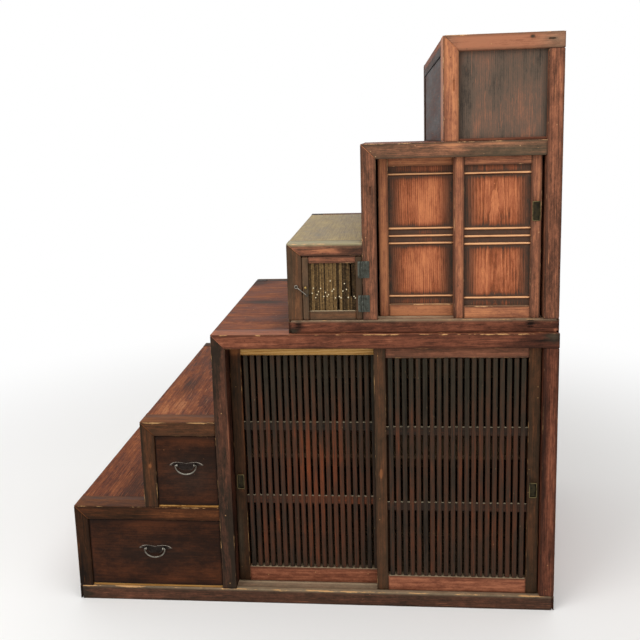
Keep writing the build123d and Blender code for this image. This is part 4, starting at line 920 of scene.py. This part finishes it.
smallDoor = {
    "stile": 0.019, "bottom": 0.9765, "top": 1.1245, "ledgeDust": 1.6,
    "greyed": (0.13, 0.08, 0.1, 0.0), "tones": (0.7, 0.6, 0.6, 0.54),
    "finishes": ("sootedCypress", "sootedCypress", "sootedCypress", "rubbedCypress"),
    "patches": {0: (((0.0265, -0.4304, 1.038), (0.009, 0.02, 0.011), -0.7, 0.05),)},  # darker round the knob
}
fingerPull = {
    "halfWidth": 0.0105, "depth": 0.009, "rim": 0.0015, "wall": 0.0012, "proud": 0.001,
    "corner": 0.0035,            # radius of its outer corners
    # from the outer loop inward, and behind the face of the wood: round the back of the tray, over the rim
    # and down into the hollow. In the first list insets are counted from the outer edge, in the second from
    # the hollow's edge.
    "outside": ((0.0075, 0.009), (0.0019, 0.009), (0.0015, 0.0086), (0.0015, 0.0), (0.0002, 0.0),
                (0.0, -0.0003), (0.0002, -0.0008), (0.0009, -0.001)),
    "inside": ((-0.0006, -0.001), (0.0, -0.0004), (0.0, 0.004), (0.0004, 0.0070), (0.0016, 0.0078),
               (0.005, 0.0078)),
}


def doorMembers(node, look, pocket=None):
    # left stile, right stile, bottom rail and top rail; a pocket (x, z, half its height) takes a finger pull
    low, high = box(node)
    left, right = low[0] + look["stile"], high[0] - look["stile"]
    spans = ((low[0], left, low[2], high[2]), (right, high[0], low[2], high[2]),
             (left, right, low[2], look["bottom"]), (left, right, look["top"], high[2]))
    made = []
    for number, (start, end, foot, top) in enumerate(spans):
        isStile = number < 2
        recesses = []
        if pocket and isStile and start < pocket[0] < end:
            x, z, halfHeight = pocket
            recesses = [{"side": "-q", "depth": fingerPull["depth"],
                         "along": (z - halfHeight, z + halfHeight),
                         "across": (x - fingerPull["halfWidth"], x + fingerPull["halfWidth"])}]
        faces = {"-q" if isStile else "-p": (0, look["greyed"][number])}
        if number == 2:
            faces["+q"] = (0, look["ledgeDust"])
        made.append(wornBoard((start, low[1], foot), (end, high[1], top), 2 if isStile else 0,
                              look["finishes"][number], seedOf(node, number), tone=look["tones"][number],
                              rub=look["rubs"][number] if "rubs" in look else (0.2, 0.2, 0.7, 0.7),
                              recesses=recesses, faces=faces,
                              patches=look.get("patches", {}).get(number, ())))
    return made


def roundedLoop(halfWidth, halfHeight, radius, steps=4):
    # a rectangle with quarter-circle corners, as points round its edge
    signs = np.repeat(list(sectionSides.values()), steps, axis=0)
    angle = np.radians((90 * np.arange(4)[:, None] + np.linspace(0, 90, steps)).ravel())
    return (signs * (halfWidth - radius, halfHeight - radius)
            + radius * np.stack([np.cos(angle), np.sin(angle)], axis=1))


def fingerTray(node):
    # sheet metal: tray wall and floor, and a thin rim rolled over the wood
    low, high = box(node)
    look = fingerPull
    middle = (low + high) / 2
    hollow = look["rim"] + look["wall"]
    stages = list(look["outside"]) + [(hollow + inset, depth) for inset, depth in look["inside"]]
    rings = []
    for inset, depth in stages:
        loop = roundedLoop((high[0] - low[0]) / 2 - inset, (high[2] - low[2]) / 2 - inset,
                           max(look["corner"] - 0.6 * inset, 0.0012))
        y = np.full(len(loop), low[1] + look["proud"] + depth)
        rings.append(np.stack([middle[0] + loop[:, 0], y, middle[2] + loop[:, 1]], axis=1))
    # the rim is painted brighter: a painted highlight
    rim = np.array([inset < hollow and depth < 0.001 for inset, depth in stages])[:, None]
    return closedSurface(np.array(rings), "brownedBrass", rub=0.5 * rim)


def pocketFor(node, x, halfHeight):
    low, high = box(node)
    return x, (low[2] + high[2]) / 2, halfHeight


for side in ("left", "right"):
    look = latticeDoor | latticeDoor[side]
    frameNode, grille, pull = side + "_lattice_frame", side + "_lattice_grille", side + "_lattice_pull"
    pocket = pocketFor(pull, look["pullX"], look["pullHalfHeight"])
    addPiece(frameNode + "_members", doorMembers(frameNode, look, pocket), [frameNode])
    slats = boards(grille, "sootedSlat", last=look["slats"], rub=(0.3,) * 4, patches=latticeGlow)
    slats += boards(grille, "dustyBar", first=look["slats"], rub=(0.3,) * 4, patches=latticeGlow[:1])
    addPiece(grille + "_slats", slats, [grille])
    addPiece(pull + "_tray", [fingerTray(pull)], [pull])


def bead(low, high, seed):
    # half-round moulding: a half ellipse in front, flat behind, its crest wavering by a few tenths of a
    # millimetre; a highlight is painted above its middle and shade on its underside
    x = np.linspace(low[0], high[0], 24)
    angle = np.linspace(0, math.pi, 13)
    halfHeight, proud = (high[2] - low[2]) / 2, high[1] - low[1]
    wear = 1 - 0.05 * (1 + waver(x, seed, 0.12))
    rings = np.zeros((len(x), len(angle) + 2, 3))
    rings[:, :, 0] = x[:, None]
    rings[..., 1] = high[1]
    rings[:, :len(angle), 1] -= proud * np.sin(angle) * wear[:, None]
    rings[:, :, 2] = (low[2] + high[2]) / 2 + halfHeight * np.concatenate([np.cos(angle), [-0.3, 0.3]])
    # its tone: a painted highlight above the middle, painted shade on the underside, none on the flat back
    crest = np.concatenate([1.4 * np.sin(angle) ** 2 * (0.7 + 0.6 * np.cos(angle)), [0, 0]])
    return closedSurface(rings, "beadCedar", grain=rings + seed % 7, tone=crest)


for side in ("left", "right"):
    look = panelDoor | panelDoor[side]
    frameNode, panel, pull = side + "_panel_frame", side + "_panel_infill", side + "_panel_pull"
    pocket = None
    if side == "right":  # the left door has no pull
        pocket = pocketFor(pull, look["pullX"], look["pullHalfHeight"])
        addPiece(pull + "_tray", [fingerTray(pull)], [pull])
    addPiece(frameNode + "_members", doorMembers(frameNode, look, pocket), [frameNode])
    # rubbed red in the middle of each field, dark round the beads and at the top and foot; round the beads
    # the dark is dirt and painted shade
    low, high = box(panel)
    middleX = (low[0] + high[0]) / 2
    patches = [((middleX, low[1], z), look["fieldReach"], look["fieldShade"], 0) for z in look["fields"]]
    patches += [((middleX, low[1], z - 0.001), (2, 1, 0.011), -0.6, 0.6) for z in look["beads"]]
    patches += [((middleX, low[1], z), (2, 1, 0.014), -0.35, 0.5) for z in (low[2], high[2])]
    infill = boards(panel, "brushedCedar", last=1, along=2, rub=(0,) * 4, patches=patches,
                    heart=look["heart"], rowStep=0.006, sideStep=0.02)
    infill += [bead(*ends, seedOf(side, number)) for number, ends in enumerate(solidBoxes(panel)[1:])]
    addPiece(panel + "_board", infill, [panel])

addPiece("small_door_frame_members", doorMembers("small_door_frame", smallDoor), ["small_door_frame"])


reedScreen = {
    # x, from, to: where a stalk has broken out
    "missing": ((0.1515, 1.020, 1.1215), (0.1125, 0.9715, 1.013)),
    "short": 0.004,              # what is left of a stalk is dropped if it is shorter
    "step": 0.0035,              # between the rings of a stalk
    "thin": 0.93, "swell": 0.05, "joint": 0.03,  # its radius as a share of the solid's: least, waver, joints
    "tones": (-0.1, 1.1),
    # where side twigs were cut off, x and z
    "twigs": ((0.037, 1.047), (0.059, 1.046), (0.052, 1.036), (0.033, 1.031), (0.048, 1.027), (0.043, 1.017),
              (0.068, 1.021), (0.074, 1.033), (0.079, 1.021), (0.083, 1.026), (0.089, 1.069), (0.094, 1.037),
              (0.099, 1.043), (0.104, 1.016), (0.116, 1.020), (0.121, 1.016), (0.127, 1.037), (0.132, 1.060),
              (0.138, 1.042), (0.143, 1.017), (0.161, 1.020), (0.165, 1.015)),
    # a twig from its back to its cut end: distance and radius
    "twigOutline": ((0.0035, 0.00126), (0.00245, 0.00168), (0.0008, 0.0021), (0.0002, 0.001785),
                    (0, 0.00105)),
}


def reed(x, y, radius, low, high, seed):
    # a split reed: a thin round stalk that wavers and swells at its joints
    look = reedScreen
    z = np.linspace(low, high, max(8, int((high - low) / look["step"])))
    swell = look["thin"] + look["swell"] * waver(z, seed, 0.05)
    swell = swell + look["joint"] * (waver(z, seed + 3, 0.023) > 0.75)
    path = np.stack([x + 0.0002 * waver(z, seed + 5, 0.06), np.full(len(z), y), z], axis=1)
    tone = np.random.default_rng(seed).uniform(*look["tones"])
    return tube(path, radius * swell, "dryReed", sides=8, tone=tone,
                grain=np.repeat(path[:, None], 8, axis=1) + (seed * 0.137 % 5))


stalks = []
for number, (low, high) in enumerate(solidBoxes("small_door_reeds")):
    x, y, radius = (low[0] + high[0]) / 2, (low[1] + high[1]) / 2, (high[0] - low[0]) / 2
    ends = [low[2] + 0.0002, high[2] - 0.0002]
    for place, gapLow, gapHigh in reedScreen["missing"]:
        if abs(x - place) < radius:
            ends = [ends[0], gapLow, gapHigh, ends[1]]
    for foot, top in zip(ends[::2], ends[1::2]):
        if top - foot > reedScreen["short"]:
            stalks.append(reed(x, y, radius, foot, top, seedOf("reed", number)))
# cut twigs: short stubs, their pale ends facing out
reedFront = box("small_door_reeds")[0][1]
for x, z in reedScreen["twigs"]:
    stalks.append(turned(reedScreen["twigOutline"], (x, reedFront, z), (0, 1, 0), "cutTwig", sides=10))
addPiece("small_door_reeds_stalks", stalks, ["small_door_reeds"])
print("doors done")


drawerPull = {
    "halfWidth": 0.056, "thickness": 0.0015, "eyesBelowTop": 0.008,
    "middle": -0.004,            # height of the dome's middle from the eyes
    "eyeSpacing": 0.056, "eyeRadius": 0.0042, "eyeLength": 0.004, "bore": 0.00166, "standoff": 0.008,
    "bailHalfWidth": 0.034, "bailDrop": 0.030, "bailRadius": 0.0026, "bailEndRadius": 0.0020,
    "pinRadius": 0.0016, "neckRadius": 0.0019, "play": 0.0004,
    # the plate's outline as shares of its half width, and heights in millimetres from the eyes
    "outline": ((0, 3.6), (0.10, 4.6), (0.2, 6.0), (0.40, 7.6), (0.62, 7.9), (0.80, 5.2), (0.92, 1.2),
                (1.0, -2.9), (0.90, -1.6), (0.76, -1.3), (0.62, -2.2), (0.55, -4.0), (0.46, -9.0),
                (0.37, -14.5), (0.30, -18.5), (0.20, -18.9), (0.08, -17.6), (0, -17.0)),
    # the outline drawn in towards the middle, and its height as a share of the thickness: flat behind, a
    # bevelled rim, then a low dome
    "dome": ((0.5, 0.0), (0.97, 0.0), (1.0, 0.15), (1.0, 0.35), (0.965, 0.8), (0.9, 0.72), (0.7, 0.85),
             (0.35, 1.0)),
    # the eye's shank: distance behind the bail's axis or, in the second pair, behind the wood's face; radius
    "shankOut": ((0.0036, 0.0017), (0.005, 0.0018)), "shankIn": ((-0.001, 0.0018), (0.0195, 0.0017)),
}


def wingedPlate(x, face, z):
    look = drawerPull
    right = np.array(look["outline"]) * (look["halfWidth"], 0.001)
    outline = np.concatenate([right, right[-2:0:-1] * (-1, 1)])
    centre = np.array((0, look["middle"]))
    rings = []
    for share, height in look["dome"]:
        loop = centre + (outline - centre) * share
        y = np.full(len(loop), face - look["thickness"] * height)
        rings.append(np.stack([x + loop[:, 0], y, z + loop[:, 1]], axis=1))
    # the rim carries a painted highlight, apart from the plate's foot
    rim = np.array([share > 0.96 for share, height in look["dome"]])[:, None]
    return closedSurface(np.array(rings), "lacqueredIron", rub=0.9 * rim * (outline[:, 1] > -0.003))


def eye(x, y, z):
    # a ring with a hole for the bail's pin
    look = drawerPull
    half, outer, inner = look["eyeLength"] / 2, look["eyeRadius"], look["bore"]
    profile = [(-half, inner + 0.0004), (-half, outer - 0.0008), (-0.6 * half, outer), (0.6 * half, outer),
               (half, outer - 0.0008), (half, inner + 0.0004), (0.7 * half, inner), (-0.7 * half, inner)]
    return closedSurface(lathe(profile, (x, y, z), (1, 0, 0), 20), "handledIron", wrap=True)


def drawerBail(x, y, z):
    # pin, neck, half ring and back: thickest at the bottom, where it is held
    look = drawerPull
    half = look["bailHalfWidth"]
    pinEnd = look["eyeSpacing"] / 2 - look["eyeLength"] / 2 - look["play"]
    angle = np.linspace(0, math.pi, 45)[1:-1]
    bow = np.stack([half * np.cos(angle), -look["bailDrop"] * np.sin(angle) ** 0.9], axis=1)
    start = np.array([(pinEnd, 0), (half - 0.003, 0), (half - 0.0012, 0)])
    path = np.concatenate([start, bow, start[::-1] * (-1, 1)])
    thicker = look["bailRadius"] - look["bailEndRadius"]
    startRadii = [look["pinRadius"]] * 2 + [look["neckRadius"]]
    radii = np.concatenate([startRadii, look["bailEndRadius"] + thicker * np.sin(angle), startRadii[::-1]])
    points = np.stack([x + path[:, 0], np.full(len(path), y), z + path[:, 1]], axis=1)
    return tube(points, radii, "handledIron", sides=12)


def rod(stations, finish):
    # a tube from its points and the radius at each
    points, radii = zip(*stations)
    return tube(np.array(points), radii, finish)


for name in ("wide", "small"):
    look = drawerPull
    plateLow, plateHigh = solidBoxes(name + "_drawer_plate")[0]
    face, x = plateHigh[1], (plateLow[0] + plateHigh[0]) / 2
    z = plateHigh[2] - look["eyesBelowTop"]
    eyeY = face - look["standoff"]
    fittings = [wingedPlate(x, face, z)]
    for side in (-0.5, 0.5):
        eyeX = x + side * look["eyeSpacing"]
        fittings.append(eye(eyeX, eyeY, z))
        shank = [(eyeY + place, radius) for place, radius in look["shankOut"]]
        shank += [(face + place, radius) for place, radius in look["shankIn"]]
        fittings.append(rod([((eyeX, y, z), radius) for y, radius in shank], "blackedIron"))
    addPiece(name + "_drawer_plate_fittings", fittings, [name + "_drawer_plate"])
    addPiece(name + "_drawer_bail_ring", [drawerBail(x, eyeY, z)], [name + "_drawer_bail"])


smallIron = {
    "face": -0.4324,             # of the wood that the leaves lie on
    "hingeFeet": (0.973, 1.078), "hingeHeight": 0.052, "pinX": 0.18675, "pinY": -0.4362, "leaf": 0.0016,
    "postLeaf": 0.022, "doorLeaf": 0.013, "leafStart": 0.0034, "knuckle": 0.003, "gap": 0.0003,
    "nailHead": 0.0016, "nails": (0.16, 0.5, 0.84),      # their heights as shares of the leaf's
    "pin": ((0.0001, 0.0010), (0.001, 0.0015)),          # distance from either end, radius
    "pivot": (0.018, -0.4366, 1.026), "ring": (-0.015, -0.4366, 1.053), "ringRadius": 0.0046, "wire": 0.0014,
    "eyeRadius": 0.0021, "eyeWire": 0.0007,
    "shank": ((0.07, 0.0012), (0.2, 0.0015), (0.5, 0.0014), (0.8, 0.0013), (1.0, 0.0012)),  # share, radius
    # the peg that holds the ring: distance in front of or behind it, radius
    "peg": ((-0.0017, 0.0009), (-0.0012, 0.0014), (0.0002, 0.0016), (0.0157, 0.0014)),
    # the staple's path from leg to leg: across, as a share of its half width, and into the wood
    "staple": ((-1, 0.0155), (-1, 0.004), (-1, 0.0012), (-0.8, 0.0002), (-0.4, 0), (0.4, 0), (0.8, 0.0002),
               (1, 0.0012), (1, 0.004), (1, 0.0155)),
    "stapleHalf": 0.004, "stapleWire": 0.00112,
}


def knuckle(low, high):
    # a rolled barrel, a hair thinner at its middle
    look = smallIron
    radius = look["knuckle"]
    end = [(0.0002, 0.6 * radius), (0.0003, radius - 0.0003), (0.0008, radius - 0.00005)]
    length = high - low
    profile = end + [(length / 2, radius * 0.985)] + [(length - place, size) for place, size in end[::-1]]
    return turned(profile, (look["pinX"], look["pinY"], low), (0, 0, 1), "blackedIron", sides=16)


def nailHead(x, y, z):
    # a low dome, hammered flat at its crown
    radius = smallIron["nailHead"]
    profile = [(0.0002, 0.6 * radius), (0, radius), (-0.3 * radius, 0.9 * radius),
               (-0.55 * radius, 0.5 * radius)]
    return turned(profile, (x, y, z), (0, 1, 0), "blackedIron", sides=10)


def hingeParts(foot, side):
    # one leaf with its knuckles and nails: side 1 is the post's, with the outer knuckles, -1 the door's
    look = smallIron
    inner = look["pinX"] + side * look["leafStart"]
    outer = look["pinX"] + side * (look["postLeaf"] if side > 0 else look["doorLeaf"])
    back, front, gap = look["face"], look["face"] - look["leaf"], look["gap"]
    left, right = sorted((inner, outer))
    parts = [wornBoard((left, front, foot + gap), (right, back, foot + look["hingeHeight"] - gap), 2,
                       "blackedIron", 5)]
    third = look["hingeHeight"] / 3
    webLeft, webRight = sorted((look["pinX"] + side * 0.001, inner + side * 0.0006))
    for number in ((0, 2) if side > 0 else (1,)):
        low, high = foot + number * third, foot + (number + 1) * third
        parts.append(knuckle(low + gap, high - gap))
        parts.append(wornBoard((webLeft, front, low + 0.0005), (webRight, back - 0.0004, high - 0.0005), 2,
                               "blackedIron", 6))
    middle = (inner + outer) / 2 + side * 0.002
    return parts + [nailHead(middle, front, foot + share * look["hingeHeight"]) for share in look["nails"]]


def ringOf(centre, radius, wire, axis):
    # a wire ring: a circle about the axis, its round section carried along it
    circle, axis = circleAbout(axis, (0.13, 0.97, 0.21), 28)
    return tube(np.array(centre) + radius * circle, wire, "handledIron", wrap=True)


look = smallIron
pivot, ringPlace = np.array(look["pivot"]), np.array(look["ring"])
reach = (ringPlace - pivot) / np.linalg.norm(ringPlace - pivot)
acrossHasp = np.array((reach[2], 0, -reach[0]))
postIron, doorIron = [], []
for foot in look["hingeFeet"]:
    postIron += hingeParts(foot, 1)
    doorIron += hingeParts(foot, -1)
    pin = [(foot + place, radius) for place, radius in look["pin"]]
    pin += [(foot + look["hingeHeight"] - place, radius) for place, radius in look["pin"][::-1]]
    postIron.append(rod([((look["pinX"], look["pinY"], z), radius) for z, radius in pin], "handledIron"))
postIron.append(rod([(ringPlace + (0, y, 0), radius) for y, radius in look["peg"]], "blackedIron"))
doorIron.append(tube([pivot + across * acrossHasp * look["stapleHalf"] + (0, depth, 0)
                      for across, depth in look["staple"]], look["stapleWire"], "blackedIron", sides=8))
addPiece("frame_ironwork_forged", postIron, ["frame_ironwork"])
addPiece("small_door_ironwork_forged", doorIron, ["small_door_ironwork"])
shankEnd = ringPlace - reach * look["ringRadius"]
addPiece("small_door_hasp_wire", [
    ringOf(pivot, look["eyeRadius"], look["eyeWire"], acrossHasp),
    rod([(pivot + (shankEnd - pivot) * share, radius) for share, radius in look["shank"]], "handledIron"),
    ringOf(ringPlace, look["ringRadius"], look["wire"], (0, 1, 0))], ["small_door_hasp"])

# the knob from its pin in the wood to its crown: distance from the crown, radius
knobProfile = ((0.0188, 0.0012), (0.0185, 0.0021), (0.0072, 0.0022), (0.0069, 0.0040), (0.0066, 0.0046),
               (0.0050, 0.0049), (0.0032, 0.0046), (0.0014, 0.0034), (0.0004, 0.0019), (0.0001, 0.0008))
low, high = box("small_door_knob")
crown = ((low[0] + high[0]) / 2, low[1], (low[2] + high[2]) / 2)
addPiece("small_door_knob_turned", [turned(knobProfile, crown, (0, 1, 0), "turnedBrass", sides=28)],
         ["small_door_knob"])
print("metalwork done")


def whiteForLooking(tree, plain, white, share=None):
    # plain for rays that light the room, white for rays that only look at it: from the camera, from a mirror
    # and through glass; share says how far the place passes into white
    rays = addNode(tree, "LightPath", {}).node.outputs
    looking = rays["Is Camera Ray"]
    for kind in ("Is Glossy Ray", "Is Transmission Ray"):
        looking = addNode(tree, "Math", {"operation": "MAXIMUM", 0: looking, 1: rays[kind]})
    if share:
        looking = addNode(tree, "Math", {"operation": "MULTIPLY", 0: share, 1: looking})
    return addNode(tree, "MixShader", {0: looking, 1: plain, 2: white})


studio = {
    "floor": "#f4f3f1", "dullness": (0.75, 0.9),
    "shadowEnds": (1.1, 3.2),        # metres from the object over which the floor passes into white
    "corners": ((-14, -9, 0), (14, -9, 0), (14, 16, 0), (-14, 16, 0)),
    "roomLight": 0.72,
    # name: (place in metres, aim, size, watts)
    "lights": {
        "windowLeft": ((-2.6, -2.9, 3.2), (0, 0, 1.0), 2.6, 78),
        "overhead": ((0.7, -1.6, 3.6), (0.2, 0, 1.2), 2.4, 30),
        "fillRight": ((3.4, -2.6, 1.8), (0, 0, 0.8), 3.0, 10),
    },
}
# rolled wall paint: pale, matt, a little uneven in its dullness
floorMaterial, tree = newMaterial("paleStudioFloor_rolledPaint")
place = addNode(tree, "TexCoord", {}, 3)
unevenness = addNode(tree, "TexNoise", {"Vector": place, "Scale": 60.0})
low, high = studio["dullness"]
roughness = addNode(tree, "MapRange", {"Value": unevenness, "To Min": low, "To Max": high})
paint = addNode(tree, "BsdfPrincipled", {"Base Color": studio["floor"], "Roughness": roughness})
away = addNode(tree, "VectorMath", {"operation": "LENGTH", 0: place}, 1)
low, high = studio["shadowEnds"]
away = addNode(tree, "MapRange", {"Value": away, "From Min": low, "From Max": high,
                                  "interpolation_type": "SMOOTHSTEP"})
white = addNode(tree, "Emission", {"Color": "#ffffff", "Strength": 1.0})
addNode(tree, "OutputMaterial", {"Surface": whiteForLooking(tree, paint, white, away)})
floorMesh = bpy.data.meshes.new("studio_floor")
floorMesh.from_pydata(studio["corners"], [], [(0, 1, 2, 3)])
floorMesh.materials.append(floorMaterial)
floor = bpy.data.objects.new("studio_floor", floorMesh)
bpy.context.scene.collection.objects.link(floor)

for name, (place, aim, size, watts) in studio["lights"].items():
    light = bpy.data.lights.new(name, "AREA")
    light.shape = "SQUARE"
    light.size = size
    light.energy = watts
    lamp = bpy.data.objects.new(name, light)
    lamp.location = place
    lamp.rotation_euler = (Vector(aim) - Vector(place)).to_track_quat("-Z", "Y").to_euler()
    bpy.context.scene.collection.objects.link(lamp)

world = bpy.data.worlds.new("white_room")
bpy.context.scene.world = world
world.use_nodes = True
tree = world.node_tree
tree.nodes.clear()
roomLight = addNode(tree, "Background", {"Color": "#ffffff", "Strength": studio["roomLight"]})
whiteWall = addNode(tree, "Background", {"Color": "#ffffff", "Strength": 1.0})
addNode(tree, "OutputWorld", {"Surface": whiteForLooking(tree, roomLight, whiteWall)})

# angles in radians: yaw to the right of straight ahead, pitch downwards, and a slight roll
viewFrom = {"place": (0.2410, -2.5543, 1.4952), "yaw": -0.08459, "pitch": 0.15199, "roll": -0.028,
            "lens": 40.08, "shiftY": -0.111}
yaw, pitch, roll = viewFrom["yaw"], viewFrom["pitch"], viewFrom["roll"]
forward = Vector((math.sin(yaw) * math.cos(pitch), math.cos(yaw) * math.cos(pitch), -math.sin(pitch)))
level = Vector((math.cos(yaw), -math.sin(yaw), 0))
upright = level.cross(forward)
rightward = level * math.cos(roll) + upright * math.sin(roll)
upward = upright * math.cos(roll) - level * math.sin(roll)
turn = Matrix((rightward, upward, -forward)).transposed().to_4x4()
lens = bpy.data.cameras.new("main_camera")
lens.lens = viewFrom["lens"]
lens.shift_y = viewFrom["shiftY"]
camera = bpy.data.objects.new("main_camera", lens)
camera.matrix_world = Matrix.Translation(viewFrom["place"]) @ turn
bpy.context.scene.collection.objects.link(camera)
bpy.context.scene.camera = camera
bpy.context.scene.view_settings.view_transform = "Standard"
print("room, light and camera done")
